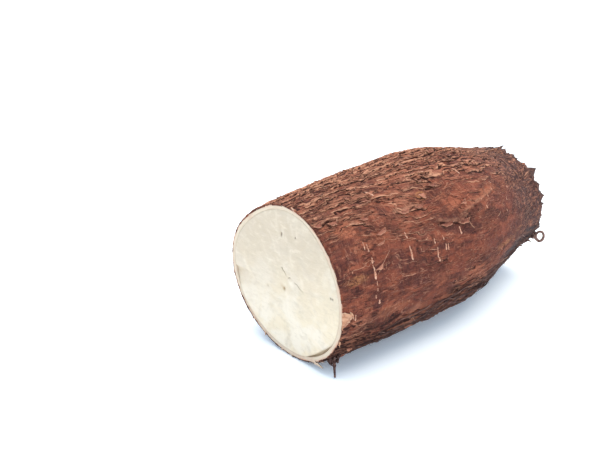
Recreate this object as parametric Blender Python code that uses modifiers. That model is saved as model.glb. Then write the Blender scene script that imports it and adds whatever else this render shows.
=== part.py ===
"""A cut section of cassava root, lying on its side.

Metres, +Z up. The root's length runs along X: the clean cut face looks towards -X and the narrow
broken end towards +X. The root rests on z = 0, with the middle of its outline over the origin.
"""

from dataclasses import dataclass
from math import cos, pi, radians, sin

import bmesh
import bpy
from mathutils import Matrix, Vector

MM = 0.001

# ---- driving dimensions -------------------------------------------------------------------------

LENGTH = 144.0 * MM           # along the axis, from the clean cut to the broken end
CUT_RADIUS = 37.3 * MM        # mean half width of the clean cut face
BELLY_RADIUS = 39.6 * MM      # the thickest half width, past the middle
TIP_RADIUS = 28.4 * MM        # half width where the thin end was broken off
FLATNESS = 0.97               # height of a section over its width

REST_DEPTH = 0.6 * MM         # how much the lowest part of the belly is pressed flat

# The two ends are flat cuts. Each slope is the lean of the end's plane along X, per metre across Y
# and per metre up Z.
CLEAN_CUT_SLOPE = (0.025, -0.066)
BROKEN_CUT_SLOPE = (-0.27, 0.09)
END_OVERHANG = 14.0 * MM      # the cage runs past both cuts by this much, and the cuts trim it

CAGE_SIDES = 16
SMOOTHING_LEVEL = 2


@dataclass(frozen=True)
class Station:
    """One cross-section of the root: a place along it, its half width and how it lies."""

    along: float              # share of the length, 0 at the clean cut
    radius: float
    sideways: float           # how far the section's middle is from the axis, along Y
    lift: float               # height of the section's underside over the resting surface


STATIONS = (
    Station(0.00, CUT_RADIUS, 0.5 * MM, 2.2 * MM),
    Station(0.12, 39.0 * MM, -0.6 * MM, 0.3 * MM),
    Station(0.28, 39.5 * MM, -1.3 * MM, 0.0 * MM),
    Station(0.45, 39.5 * MM, -2.3 * MM, 0.0 * MM),
    Station(0.62, BELLY_RADIUS, -3.2 * MM, 0.0 * MM),
    Station(0.78, 35.3 * MM, -1.2 * MM, 2.7 * MM),
    Station(0.90, 31.2 * MM, 0.2 * MM, 5.1 * MM),
    Station(1.00, TIP_RADIUS, 2.1 * MM, 6.1 * MM),
)


@dataclass(frozen=True)
class Lobes:
    """A low wave around a section, in shares of its radius."""

    count: int
    height: float
    crest: float              # where one crest stands, in degrees from +Y towards +Z


# The thick end isn't round: it has these lobes, which fade out over the first half of the length.
SECTION_LOBES = (
    Lobes(2, 0.049, -69.9),
    Lobes(3, 0.036, -9.8),
    Lobes(4, 0.0135, 12.8),
    Lobes(5, 0.0093, 28.5),
)
LOBES_FULL_TO = 0.0
LOBES_GONE_AT = 0.60

SKIN_COLOUR = (0.20, 0.085, 0.05, 1.0)
SKIN_ROUGHNESS = 0.85


# ---- helpers ------------------------------------------------------------------------------------

def clear_scene():
    """Remove every object that the file opened with."""
    for item in list(bpy.data.objects):
        bpy.data.objects.remove(item, do_unlink=True)


def new_collection(name):
    """Make a collection in the scene and return it."""
    collection = bpy.data.collections.new(name)
    bpy.context.scene.collection.children.link(collection)
    return collection


def skin_material():
    """The root's brown, matt, bark-like skin."""
    material = bpy.data.materials.new("cassava_skin")
    material.use_nodes = True
    shader = material.node_tree.nodes["Principled BSDF"]
    shader.inputs["Base Color"].default_value = SKIN_COLOUR
    shader.inputs["Roughness"].default_value = SKIN_ROUGHNESS
    shader.inputs["Metallic"].default_value = 0.0
    material.diffuse_color = SKIN_COLOUR
    return material


# ---- the root's body ----------------------------------------------------------------------------

def lobe_factor(along, angle):
    """How much a section's radius grows at an angle, from the lobes of the thick end."""
    fade = (LOBES_GONE_AT - along) / (LOBES_GONE_AT - LOBES_FULL_TO)
    fade = min(max(fade, 0.0), 1.0)
    wave = sum(lobe.height * cos(lobe.count * (angle - radians(lobe.crest))) for lobe in SECTION_LOBES)
    return 1.0 + fade * wave


def cage_gain():
    """Subdivision pulls a ring of corners inwards, and this factor puts its radius back."""
    return 3.0 / (2.0 + cos(2.0 * pi / CAGE_SIDES))


def ring_points(station, x):
    """The corners of one ring of the cage, at x."""
    gain = cage_gain()
    middle_z = station.lift + station.radius * FLATNESS
    points = []
    for side in range(CAGE_SIDES):
        angle = 2.0 * pi * side / CAGE_SIDES
        reach = station.radius * lobe_factor(station.along, angle) * gain
        y = station.sideways + reach * cos(angle)
        z = middle_z + reach * FLATNESS * sin(angle)
        points.append(Vector((x, y, z)))
    return points


def cage_rings():
    """Every ring of the cage, from before the clean cut to past the broken end."""
    rings = [ring_points(station, station.along * LENGTH) for station in STATIONS]
    front = ring_points(STATIONS[0], -END_OVERHANG)
    back = ring_points(STATIONS[-1], LENGTH + END_OVERHANG)
    return [front, *rings, back]


def build_body(collection):
    """Loft the rings into a closed cage and smooth it with a Subdivision Surface."""
    mesh = bpy.data.meshes.new("cassava_root")
    form = bmesh.new()
    loops = []
    for points in cage_rings():
        corners = [form.verts.new(point) for point in points]
        edges = [form.edges.new((corners[i - 1], corners[i])) for i in range(CAGE_SIDES)]
        loops.append(edges)
    for first, second in zip(loops, loops[1:]):
        bmesh.ops.bridge_loops(form, edges=first + second)
    bmesh.ops.holes_fill(form, edges=loops[0] + loops[-1], sides=0)
    bmesh.ops.recalc_face_normals(form, faces=form.faces[:])
    form.to_mesh(mesh)
    form.free()
    mesh.shade_smooth()

    body = bpy.data.objects.new("cassava_root", mesh)
    collection.objects.link(body)
    smooth = body.modifiers.new("smooth", "SUBSURF")
    smooth.levels = SMOOTHING_LEVEL
    smooth.render_levels = SMOOTHING_LEVEL
    return body


# ---- cutters ------------------------------------------------------------------------------------

def add_cutter(collection, name, size, matrix):
    """A box-shaped cutter, hidden from the render."""
    mesh = bpy.data.meshes.new(name)
    form = bmesh.new()
    bmesh.ops.create_cube(form, size=1.0, matrix=matrix @ Matrix.Diagonal((*size, 1.0)))
    form.to_mesh(mesh)
    form.free()
    cutter = bpy.data.objects.new(name, mesh)
    cutter.display_type = "WIRE"
    cutter.hide_render = True
    collection.objects.link(cutter)
    return cutter


def cut(body, cutter):
    """Take a cutter's shape away from the body."""
    boolean = body.modifiers.new(cutter.name, "BOOLEAN")
    boolean.operation = "DIFFERENCE"
    boolean.solver = "EXACT"
    boolean.object = cutter


def end_cutter(collection, name, station, slope, outward):
    """A block whose inner side is an end's plane. Outward is -1 at the clean cut and 1 at the other."""
    side = 6.0 * BELLY_RADIUS
    depth = 4.0 * END_OVERHANG
    lean_y, lean_z = slope
    normal = Vector((1.0, -lean_y, -lean_z))
    turn = Vector((1.0, 0.0, 0.0)).rotation_difference(normal)
    middle = Vector((station.along * LENGTH, station.sideways, station.lift + station.radius * FLATNESS))
    place = Matrix.Translation(middle) @ turn.to_matrix().to_4x4()
    shift = Matrix.Translation(Vector((outward * depth / 2.0, 0.0, 0.0)))
    return add_cutter(collection, name, (depth, side, side), place @ shift)


def rest_cutter(collection):
    """A block under the root whose top presses the belly flat."""
    side = 3.0 * LENGTH
    depth = 20.0 * MM
    place = Matrix.Translation(Vector((LENGTH / 2.0, 0.0, REST_DEPTH - depth / 2.0)))
    return add_cutter(collection, "rest_cutter", (side, side, depth), place)


# ---- placing ------------------------------------------------------------------------------------

def evaluated_box(item):
    """Lowest and highest corners of an object's evaluated mesh, in world space."""
    view = bpy.context.evaluated_depsgraph_get()
    mesh = item.evaluated_get(view).data
    points = [item.matrix_world @ vertex.co for vertex in mesh.vertices]
    low = Vector([min(point[axis] for point in points) for axis in range(3)])
    high = Vector([max(point[axis] for point in points) for axis in range(3)])
    return low, high


def stand_on_origin(body, cutters):
    """Move the root and its cutters so that its box stands on z = 0 over the origin."""
    bpy.context.view_layer.update()
    low, high = evaluated_box(body)
    shift = Vector((-(low.x + high.x) / 2.0, -(low.y + high.y) / 2.0, -low.z))
    for item in (body, *cutters):
        item.location = shift
    bpy.context.view_layer.update()


def main():
    """Build the root."""
    clear_scene()
    parts = new_collection("cassava_root_section")
    cutting = new_collection("cutters")

    body = build_body(parts)
    body.data.materials.append(skin_material())
    cutters = [
        end_cutter(cutting, "clean_cut", STATIONS[0], CLEAN_CUT_SLOPE, -1.0),
        end_cutter(cutting, "broken_cut", STATIONS[-1], BROKEN_CUT_SLOPE, 1.0),
        rest_cutter(cutting),
    ]
    for cutter in cutters:
        cut(body, cutter)
    stand_on_origin(body, cutters)


main()
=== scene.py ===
"""Looks of a cut section of cassava root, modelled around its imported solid.

The root lies along X: its clean cut face looks towards -X, its narrow broken end towards +X. Places
on it are given by a share of its length, 0 at the clean cut and 1 at the broken end, and by an angle
around it in degrees, 0 at +Y, 90 on top, 180 at -Y and 270 underneath. Lengths are in metres.
"""

import sys
import logging
import math
from dataclasses import dataclass
from dataclasses import field
from enum import Enum

import bpy
import numpy as np
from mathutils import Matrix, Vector
from mathutils.bvhtree import BVHTree


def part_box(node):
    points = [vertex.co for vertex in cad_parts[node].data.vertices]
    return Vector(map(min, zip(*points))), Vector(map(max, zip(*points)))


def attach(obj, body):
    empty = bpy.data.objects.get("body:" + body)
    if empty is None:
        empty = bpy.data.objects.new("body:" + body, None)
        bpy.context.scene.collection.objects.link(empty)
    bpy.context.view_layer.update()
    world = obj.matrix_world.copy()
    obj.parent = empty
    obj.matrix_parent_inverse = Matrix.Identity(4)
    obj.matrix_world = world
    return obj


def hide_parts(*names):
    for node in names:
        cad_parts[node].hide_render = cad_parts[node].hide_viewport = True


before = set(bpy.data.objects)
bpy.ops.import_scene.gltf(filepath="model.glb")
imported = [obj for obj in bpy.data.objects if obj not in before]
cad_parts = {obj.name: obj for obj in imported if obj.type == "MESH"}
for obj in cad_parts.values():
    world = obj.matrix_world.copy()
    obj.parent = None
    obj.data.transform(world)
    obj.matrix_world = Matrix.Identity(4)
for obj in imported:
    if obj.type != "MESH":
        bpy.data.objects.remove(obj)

MM = 0.001
FULL_TURN = 2.0 * math.pi
FLOOR_GAP = 0.05 * MM
NODE = "cassava_root"
BODY = "root"

log = logging.getLogger("cassava_root")
Colour = tuple[float, float, float]
Place = tuple[float, float]
Point = tuple[float, float, float]
Array = np.ndarray
Piece = bpy.types.Object
Socket = bpy.types.NodeSocket


class Slot(Enum):
    """The record's material slots."""

    SKIN = "skin"
    FLESH = "flesh"
    RIND = "rind"


# ---- small tools --------------------------------------------------------------------------------

def srgb(red: int, green: int, blue: int) -> Colour:
    """Turn a colour written in 0 to 255 steps into the linear values that shaders take.

    Args:
        red: Red, 0 to 255.
        green: Green, 0 to 255.
        blue: Blue, 0 to 255.

    Returns:
        The linear red, green and blue, 0 to 1.
    """
    shares = (red / 255.0, green / 255.0, blue / 255.0)
    return tuple(s / 12.92 if s <= 0.04045 else ((s + 0.055) / 1.055) ** 2.4 for s in shares)


def angle_gap(angles: Array, centre_degrees: float) -> Array:
    """Signed turn from a place around the root to each angle.

    Args:
        angles: Angles in radians.
        centre_degrees: The place to measure from, in degrees.

    Returns:
        The shortest signed turns, in radians.
    """
    return (angles - math.radians(centre_degrees) + math.pi) % FULL_TURN - math.pi


def joined(*parts: Array | float) -> Array:
    """Rows of numbers from their columns, each of them an array or one number."""
    return np.stack(np.broadcast_arrays(*parts), axis=-1)


def bump(values: Array, width: float) -> Array:
    """A smooth hill of height 1 over 0, which falls away over the width."""
    return np.exp(-((values / width) ** 2))


def ease(values: Array, low: float, high: float) -> Array:
    """A smooth step from 0 at low to 1 at high."""
    share = np.clip((values - low) / (high - low), 0.0, 1.0)
    return share * share * (3.0 - 2.0 * share)


def line_gap(y: Array, z: Array, path: list[Place]) -> tuple[Array, Array]:
    """Distance from points in a plane to a line of straight pieces.

    Args:
        y: First coordinates of the points.
        z: Second coordinates of the points.
        path: The line's corners.

    Returns:
        The distances, and how far along the line the nearest place is, from 0 to 1.
    """
    best = np.full(y.shape, np.inf)
    where = np.zeros(y.shape)
    pieces = len(path) - 1
    for index in range(pieces):
        (ay, az), (by, bz) = path[index], path[index + 1]
        length_2 = (by - ay) ** 2 + (bz - az) ** 2
        share = np.clip(((y - ay) * (by - ay) + (z - az) * (bz - az)) / length_2, 0.0, 1.0)
        gap = np.hypot(y - ay - share * (by - ay), z - az - share * (bz - az))
        nearer = gap < best
        best = np.where(nearer, gap, best)
        where = np.where(nearer, (index + share) / pieces, where)
    return best, where


@dataclass(frozen=True)
class Cells:
    """What a cell pattern says at each point."""

    edge: Array          # 0 on the border between two cells, growing inwards
    chance: Array        # one random number from 0 to 1 for each cell
    second_chance: Array
    offset: Array        # from the cell's own point to here, in cell units


@dataclass(frozen=True)
class Noise:
    """Smooth random patterns in space, the same on every run for one seed."""

    seed: int

    def _mixed(self, cells: Array, channel: int) -> Array:
        """One random number from 0 to 1 for each lattice cell.

        Args:
            cells: Whole-number lattice places, one row each.
            channel: Which of a cell's random numbers to give.

        Returns:
            The random numbers.
        """
        whole = cells.astype(np.int64).astype(np.uint64)
        with np.errstate(over="ignore"):
            mixed = whole[:, 0] * np.uint64(0x9E3779B97F4A7C15)
            mixed ^= whole[:, 1] * np.uint64(0xC2B2AE3D27D4EB4F)
            mixed ^= whole[:, 2] * np.uint64(0x165667B19E3779F9)
            mixed += np.uint64(self.seed * 7919 + channel * 104729)
            mixed ^= mixed >> np.uint64(31)
            mixed *= np.uint64(0xBF58476D1CE4E5B9)
            mixed ^= mixed >> np.uint64(29)
            mixed *= np.uint64(0x94D049BB133111EB)
            mixed ^= mixed >> np.uint64(32)
        return (mixed >> np.uint64(11)).astype(np.float64) / float(1 << 53)

    def at(self, points: Array) -> Array:
        """Gradient noise.

        Args:
            points: Places, in units of the pattern's grain.

        Returns:
            Values from about -1 to 1.
        """
        base = np.floor(points)
        inside = points - base
        fade = inside ** 3 * (inside * (inside * 6.0 - 15.0) + 10.0)
        total = np.zeros(len(points))
        for corner in np.ndindex(2, 2, 2):
            step = np.array(corner, float)
            cell = base + step
            slope = np.stack([self._mixed(cell, axis) for axis in range(3)], axis=1) * 2.0 - 1.0
            weight = np.prod(np.where(step > 0.5, fade, 1.0 - fade), axis=1)
            total += weight * np.sum(slope * (inside - step), axis=1)
        return total * 1.6

    def layered(self, points: Array, octaves: int = 3, gain: float = 0.5) -> Array:
        """Noise with finer and finer layers.

        Args:
            points: Places, in units of the coarsest grain.
            octaves: How many layers.
            gain: Each layer's strength over the last one's.

        Returns:
            Values from about -1 to 1.
        """
        total = np.zeros(len(points))
        strength = 1.0
        reach = 0.0
        for octave in range(octaves):
            total += strength * Noise(self.seed + 17 * octave).at(points * 2.03 ** octave)
            reach += strength
            strength *= gain
        return total / reach

    def over(self, points: Array, grain: object, octaves: int = 1, gain: float = 0.5) -> Array:
        """Layered noise over places in metres.

        Args:
            points: Places, in any arrangement.
            grain: The grain in millimetres: one length, or one on each axis.
            octaves: How many layers.
            gain: Each layer's strength over the last one's.

        Returns:
            Values from about -1 to 1, in the arrangement of the places.
        """
        flat = points.reshape(-1, 3) / np.array(grain) / MM
        return self.layered(flat, octaves, gain).reshape(points.shape[:-1])

    def cells(self, points: Array) -> Cells:
        """A pattern of cells around scattered points.

        Args:
            points: Places, in units of about one cell.

        Returns:
            The pattern at each place.
        """
        base = np.floor(points)
        nearest = np.full(len(points), np.inf)
        second = np.full(len(points), np.inf)
        chance = np.zeros(len(points))
        second_chance = np.zeros(len(points))
        offset = np.zeros(points.shape)
        for corner in np.ndindex(3, 3, 3):
            cell = base + np.array(corner, float) - 1.0
            seed_point = cell + np.stack([self._mixed(cell, axis) for axis in range(3)], axis=1)
            away = points - seed_point
            gap = np.linalg.norm(away, axis=1)
            closer = gap < nearest
            second = np.where(closer, nearest, np.minimum(second, gap))
            nearest = np.where(closer, gap, nearest)
            chance = np.where(closer, self._mixed(cell, 3), chance)
            second_chance = np.where(closer, self._mixed(cell, 4), second_chance)
            offset[closer] = away[closer]
        return Cells(second - nearest, chance, second_chance, offset)


# ---- meshes -------------------------------------------------------------------------------------

@dataclass
class MeshDraft:
    """Points and faces gathered for one mesh, with values for its points and maps for its corners."""

    points: list[Array] = field(default_factory=list)
    faces: list[list[int]] = field(default_factory=list)
    values: dict[str, list[Array]] = field(default_factory=dict)
    maps: dict[str, list[Array]] = field(default_factory=dict)
    count: int = 0

    def add_points(self, points: Array, **values: Array | float) -> int:
        """Add points and return the first one's number.

        Args:
            points: One row for each point.
            **values: Named numbers, one for each point.

        Returns:
            The number of the first new point.
        """
        first = self.count
        self.points.append(points.reshape(-1, 3))
        for name, numbers in values.items():
            self.values.setdefault(name, []).append(np.broadcast_to(numbers, points.shape[:-1]).ravel())
        self.count += len(self.points[-1])
        return first

    def bridge(self, low: Array, high: Array, **maps: tuple[Array, Array]) -> None:
        """Join two closed rings of points with four-sided faces.

        Args:
            low: The first ring's point numbers.
            high: The second ring's point numbers.
            **maps: Named pairs of map rows for the two rings, each one place longer than the ring.
        """
        after_low = np.roll(low, -1)
        after_high = np.roll(high, -1)
        self.faces += np.stack([low, after_low, after_high, high], axis=1).tolist()
        for name, (row_low, row_high) in maps.items():
            corners = np.stack([row_low[:-1], row_low[1:], row_high[1:], row_high[:-1]], axis=1)
            self.maps.setdefault(name, []).append(corners.reshape(-1, 2))

    def fan(self, middle: int, ring: Array, after: Array) -> None:
        """Add triangles from a middle point to each point of a ring and the one after it."""
        self.faces += [[middle, *pair] for pair in zip(ring, after)]

    def sheet(self, grid: Array, outs: Array, thickness: float, **values: Array | float) -> None:
        """Add a thin closed sheet.

        Args:
            grid: Its upper side's points, in rows.
            outs: The way each point faces.
            thickness: How thick the sheet is.
            **values: Named numbers, one for each point of the grid.
        """
        rows, columns = grid.shape[:2]
        under = self.add_points(grid - outs * thickness, **values)
        upper = self.add_points(grid, **values)
        for row in range(rows - 1):
            for column in range(columns - 1):
                at = row * columns + column
                corners = (at, at + 1, at + columns + 1, at + columns)
                self.faces.append([upper + corner for corner in corners])
                self.faces.append([under + corner for corner in reversed(corners)])
        rim = [column for column in range(columns)]
        rim += [row * columns + columns - 1 for row in range(1, rows)]
        rim += [(rows - 1) * columns + column for column in range(columns - 2, -1, -1)]
        rim += [row * columns for row in range(rows - 2, 0, -1)]
        for here, after in zip(rim, rim[1:] + rim[:1]):
            self.faces.append([upper + after, upper + here, under + here, under + after])

    def tube(self, path: Array, radii: Array, sides: int = 6, **values: Array | float) -> None:
        """Add a closed tube along a path, kept above the floor.

        Args:
            path: The middle line's points.
            radii: The tube's radius at each of them.
            sides: How many sides the tube has.
            **values: Named numbers for the whole tube.
        """
        path[:, 2] = np.maximum(path[:, 2], radii + FLOOR_GAP)
        heading = np.gradient(path, axis=0)
        heading /= np.linalg.norm(heading, axis=1, keepdims=True)
        side = np.cross(heading, np.array([0.31, 0.17, 0.93]))
        side /= np.linalg.norm(side, axis=1, keepdims=True)
        other = np.cross(heading, side)
        turns = np.arange(sides) * FULL_TURN / sides
        ring = side[:, None, :] * np.cos(turns)[:, None] + other[:, None, :] * np.sin(turns)[:, None]
        rows = path[:, None, :] + ring * radii[:, None, None]
        first = self.add_points(rows, **values)
        numbers = first + np.arange(rows.shape[0] * sides).reshape(-1, sides)
        for low, high in zip(numbers, numbers[1:]):
            self.bridge(low, high)
        self.faces.append(numbers[0][::-1].tolist())
        self.faces.append(numbers[-1].tolist())

    def build(self, name: str) -> Piece:
        """Make the mesh object.

        Args:
            name: The new object's name.

        Returns:
            The object, linked to the scene and shaded smooth.
        """
        places = np.concatenate(self.points)
        places[:, 2] = np.maximum(places[:, 2], 0.0)
        mesh = bpy.data.meshes.new(name)
        mesh.from_pydata(places.tolist(), [], self.faces)
        for title, numbers in self.values.items():
            store = mesh.attributes.new(title, "FLOAT", "POINT")
            store.data.foreach_set("value", np.concatenate(numbers).astype(np.float32))
        for title, corners in self.maps.items():
            layer = mesh.uv_layers.new(name=title)
            layer.data.foreach_set("uv", np.concatenate(corners).astype(np.float32).ravel())
        mesh.shade_smooth()
        mesh.update()
        piece = bpy.data.objects.new(name, mesh)
        bpy.context.scene.collection.objects.link(piece)
        return piece


# ---- the root's form ----------------------------------------------------------------------------

@dataclass
class RootForm:
    """The root's smooth outside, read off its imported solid."""

    around: int = 600
    rings: int = 154
    axis_slices: int = 16
    end_inset: float = 0.1 * MM
    outlook: float = 90.0 * MM
    blur_turn: float = math.radians(3.0)
    margin_share: float = 0.12  # of the length, left out at the clean end when the axis is found
    search_steps: int = 18      # halvings in the search for the skin's end
    cap_facing: float = 0.9     # a face that looks this much along X belongs to an end

    def __post_init__(self) -> None:
        """Read the axis, the two end planes and the skin's place off the solid."""
        self.tree = BVHTree.FromObject(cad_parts[NODE], bpy.context.evaluated_depsgraph_get())
        self.low, self.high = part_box(NODE)
        self.angles = np.arange(self.around) * FULL_TURN / self.around
        self.shares = np.linspace(0.0, 1.0, self.rings)
        self._find_axis()
        middle = Vector((0.0, self.axis_y(0.0), self.axis_z(0.0)))
        self.clean_plane = self._hit(middle, Vector((-1.0, 0.0, 0.0)))
        tail = Vector((self.high.x / 2.0, self.axis_y(self.high.x / 2.0), self.axis_z(self.high.x / 2.0)))
        self.broken_plane = self._hit(tail, Vector((1.0, 0.0, 0.0)))
        self._find_skin()

    def _hit(self, start: Vector, way: Vector) -> tuple[Vector, Vector]:
        """Where a ray from inside meets the solid, and the face's outward normal."""
        place, normal, _, _ = self.tree.ray_cast(start, way)
        return place, normal

    def _look_in(self, x: float, angle: float) -> tuple[float, bool]:
        """Look at the solid from outside, towards the axis.

        Args:
            x: The place along the root.
            angle: The place around it, in radians.

        Returns:
            How far from the axis the solid starts, and whether it starts with skin there.
        """
        way = Vector((0.0, math.cos(angle), math.sin(angle)))
        start = Vector((x, self.axis_y(x), self.axis_z(x))) + way * self.outlook
        place, normal = self._hit(start, -way)
        if place is None:
            return 0.0, False
        return self.outlook - (start - place).length, abs(normal.x) < self.cap_facing

    def _find_axis(self) -> None:
        """Fit a smooth line through the middles of the solid's sections."""
        margin = self.margin_share * (self.high.x - self.low.x)
        xs = np.linspace(self.low.x + margin, self.high.x - 1.5 * margin, self.axis_slices)
        middle = (self.low + self.high) / 2.0
        ys = []
        zs = []
        for x in xs:
            start = Vector((x, middle.y, middle.z))
            spans = [
                (self._hit(start, Vector(way))[0] - start).length
                for way in ((0, 1, 0), (0, -1, 0), (0, 0, 1), (0, 0, -1))
            ]
            ys.append(middle.y + (spans[0] - spans[1]) / 2.0)
            zs.append(middle.z + (spans[2] - spans[3]) / 2.0)
        self.axis_y = np.poly1d(np.polyfit(xs, ys, 3))
        self.axis_z = np.poly1d(np.polyfit(xs, zs, 3))

    def _end_x(self, inward: float) -> Array:
        """Where the skin ends, for every angle, at the end that lies against the inward way."""
        ends = []
        for angle in self.angles:
            inside = 0.0
            outside = -inward * (self.high.x + 5.0 * MM)
            for _ in range(self.search_steps):
                middle = (inside + outside) / 2.0
                if self._look_in(middle, angle)[1]:
                    inside = middle
                else:
                    outside = middle
            ends.append(inside)
        return np.array(ends)

    def _find_skin(self) -> None:
        """Read the skin's distance from the axis on the whole grid, and smooth its facets away."""
        start = self._end_x(1.0)
        stop = self._end_x(-1.0)
        xs = start[None, :] + self.shares[:, None] * (stop - start)[None, :]
        safe = np.clip(xs, (start + self.end_inset)[None, :], (stop - self.end_inset)[None, :])
        reach = np.array([
            [self._look_in(x, angle)[0] for x, angle in zip(row, self.angles)]
            for row in safe
        ])
        waves = np.fft.rfftfreq(self.around, 1.0 / self.around)
        soften = np.exp(-0.5 * (waves * self.blur_turn) ** 2)
        reach = np.fft.irfft(np.fft.rfft(reach, axis=1) * soften, self.around, axis=1)
        ys = self.axis_y(xs) + reach * np.cos(self.angles)
        zs = self.axis_z(xs) + reach * np.sin(self.angles)
        self.points = joined(xs, ys, zs)
        self.normals = self.grid_normals(self.points)
        self.reach = reach
        self.radius = float(np.mean(reach))
        self.length = self.high.x - self.low.x

    @staticmethod
    def grid_normals(points: Array) -> Array:
        """Outward normals of a grid of rings.

        Args:
            points: The grid, rings first, then places around.

        Returns:
            Unit normals, one for each point.
        """
        along = np.gradient(points, axis=0)
        around = np.roll(points, -1, axis=1) - np.roll(points, 1, axis=1)
        normals = np.cross(around, along)
        normals /= np.linalg.norm(normals, axis=-1, keepdims=True)
        return normals


# ---- relief of the bark -------------------------------------------------------------------------

@dataclass(frozen=True)
class Ledge:
    """A bark edge that runs along chosen places: each is a share and an angle."""

    places: tuple[Place, ...]
    depth: float              # millimetres, like the next two
    width: float
    step: float               # how much the bark above the line stands over the bark below it
    lip: float                # how strongly the upper bark's edge is lightened, a painted highlight
    lip_width: float = 0.8    # millimetres


@dataclass(frozen=True)
class Patch:
    """A worn spot where another layer of the bark shows."""

    share: float
    degrees: float
    length: float             # millimetres
    width: float              # millimetres
    tan: float
    golden: float
    dusky: float = 0.0


@dataclass(frozen=True)
class Strips:
    """One size of long overlapping bark strips, each lifted along its lower edge."""

    seed: int
    spacing: float
    height: float
    groove: float
    groove_width: float
    length: float
    wander: float
    shiver: float
    jog: float = 0.40


@dataclass(frozen=True)
class StripMarks:
    """What one size of strips does to the bark at each place."""

    height: Array
    groove: Array
    lip: Array
    tint: Array
    amount: Array
    rows: Array               # strip numbers on the grid, one place longer than the ring
    count: int                # how many strips go round the root


@dataclass
class BarkRelief:
    """Height and wear of the skin over the root's smooth form, and where its painted shade and painted
    highlights go.
    """

    form: RootForm
    lump_height: float = 0.55 * MM
    plate_height: float = 0.30 * MM
    scale_height: float = 0.13 * MM
    grain_height: float = 0.14 * MM
    skew_reach: float = 7.5 * MM
    skew_length: float = 26.0 * MM
    skew_middle: float = -36.0 * MM
    roll_height: float = 1.1 * MM
    wide_strips: Strips = Strips(701, 3.6 * MM, 0.85 * MM, 0.55 * MM, 0.36 * MM, 24.0 * MM, 0.95, 0.27)
    fine_strips: Strips = Strips(751, 1.65 * MM, 0.36 * MM, 0.30 * MM, 0.30 * MM, 11.0 * MM, 1.3, 0.36)
    ledges: tuple[Ledge, ...] = (
        Ledge(((0.385, 146.0), (0.44, 150.0), (0.49, 152.0), (0.54, 148.5)), 0.6, 0.50, 0.80, 0.35),
        Ledge(((0.48, 150.0), (0.52, 147.0), (0.57, 144.5), (0.63, 142.5), (0.72, 138.5)), 0.14, 0.6,
              0.70, 0.35, 0.7),
        Ledge(((-0.01, 119.0), (0.03, 121.5), (0.055, 120.0), (0.10, 124.0)), 0.8, 0.45, 0.5, 0.5),
        Ledge(((0.10, 124.0), (0.16, 127.0), (0.22, 126.0)), 0.4, 0.4, 0.4, 0.3),
        Ledge(((0.42, 122.5), (0.445, 123.5), (0.475, 122.0)), 0.45, 0.8, 0.2, 0.1),
        Ledge(((0.26, 131.0), (0.30, 133.0), (0.34, 132.0), (0.38, 134.0)), 0.6, 0.4, 0.35, 0.5),
        Ledge(((0.42, 112.0), (0.46, 110.0), (0.50, 113.0)), 0.5, 0.5, 0.35, 0.4),
        Ledge(((0.44, 92.0), (0.52, 90.0), (0.60, 91.0), (0.72, 86.0)), 0.7, 0.5, 0.5, 0.5),
        Ledge(((0.56, 106.0), (0.62, 104.0), (0.70, 105.0)), 0.6, 0.4, 0.3, 0.4),
    )
    patches: tuple[Patch, ...] = (
        Patch(0.085, 131.0, 6.0, 3.2, 0.85, 0.0), Patch(0.175, 142.0, 6.5, 3.5, 0.55, 0.0),
        Patch(0.41, 99.0, 6.0, 2.6, 0.7, 0.1), Patch(0.46, 133.0, 5.0, 2.0, 0.6, 0.0),
        Patch(0.395, 126.0, 3.0, 2.2, 0.1, 0.9), Patch(0.06, 163.0, 7.0, 2.2, 0.0, 0.7),
        Patch(0.56, 84.0, 7.0, 2.6, 0.8, 0.0), Patch(0.30, 118.0, 4.0, 2.0, 0.45, 0.1),
        Patch(0.52, 144.5, 4.5, 2.2, 0.5, 0.0), Patch(0.58, 142.0, 5.0, 2.2, 0.55, 0.0),
        Patch(0.64, 139.5, 5.0, 2.4, 0.6, 0.1), Patch(0.70, 136.5, 4.5, 2.4, 0.5, 0.1),
        Patch(0.72, 183.0, 12.0, 1.5, 0.35, 0.75), Patch(0.82, 180.5, 7.0, 1.2, 0.3, 0.5),
        Patch(0.125, 142.0, 7.0, 4.0, 0.60, 0.0), Patch(0.485, 139.5, 5.0, 3.0, 0.60, 0.0),
        Patch(0.38, 184.0, 7.0, 4.0, 0.40, 0.0), Patch(0.18, 194.0, 11.0, 3.2, 0.35, 0.2),
        Patch(0.135, 165.0, 7.0, 3.5, 0.0, 0.0, 0.65), Patch(0.40, 164.0, 5.0, 4.0, 0.0, 0.0, 0.75),
        Patch(0.77, 178.0, 7.0, 5.0, 0.0, 0.0, 0.75), Patch(0.55, 169.0, 6.0, 3.0, 0.0, 0.0, 0.45),
        Patch(0.41, 132.0, 3.0, 1.6, 0.0, 0.0, 1.0), Patch(0.11, 96.0, 9.0, 4.5, 0.0, 0.0, 0.7),
        Patch(0.015, 156.0, 3.5, 8.0, 0.0, 0.0, 0.9), Patch(0.035, 172.0, 6.0, 4.0, 0.0, 0.0, 0.7),
        Patch(0.20, 160.0, 6.0, 4.0, 0.0, 0.0, 0.5), Patch(0.31, 174.0, 16.0, 6.0, 0.0, 0.0, 0.35),
        Patch(0.52, 158.0, 9.0, 3.0, 0.0, 0.0, 0.5),
    )

    def __post_init__(self) -> None:
        """Work out every layer on the form's grid."""
        form = self.form
        self.flat = form.points.reshape(-1, 3)
        self.angle = np.broadcast_to(form.angles, form.reach.shape).ravel()
        self.share = np.broadcast_to(form.shares[:, None], form.reach.shape).ravel()
        self._warp()
        self._zones()
        self._layers()

    def grain(self, long: float, cross: float) -> Array:
        """Places stretched along the root's grain.

        Args:
            long: Grain length along the root.
            cross: Grain width across it.

        Returns:
            The wandering places in units of the grain.
        """
        return self.wandering / np.array([long, cross, cross])

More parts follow.
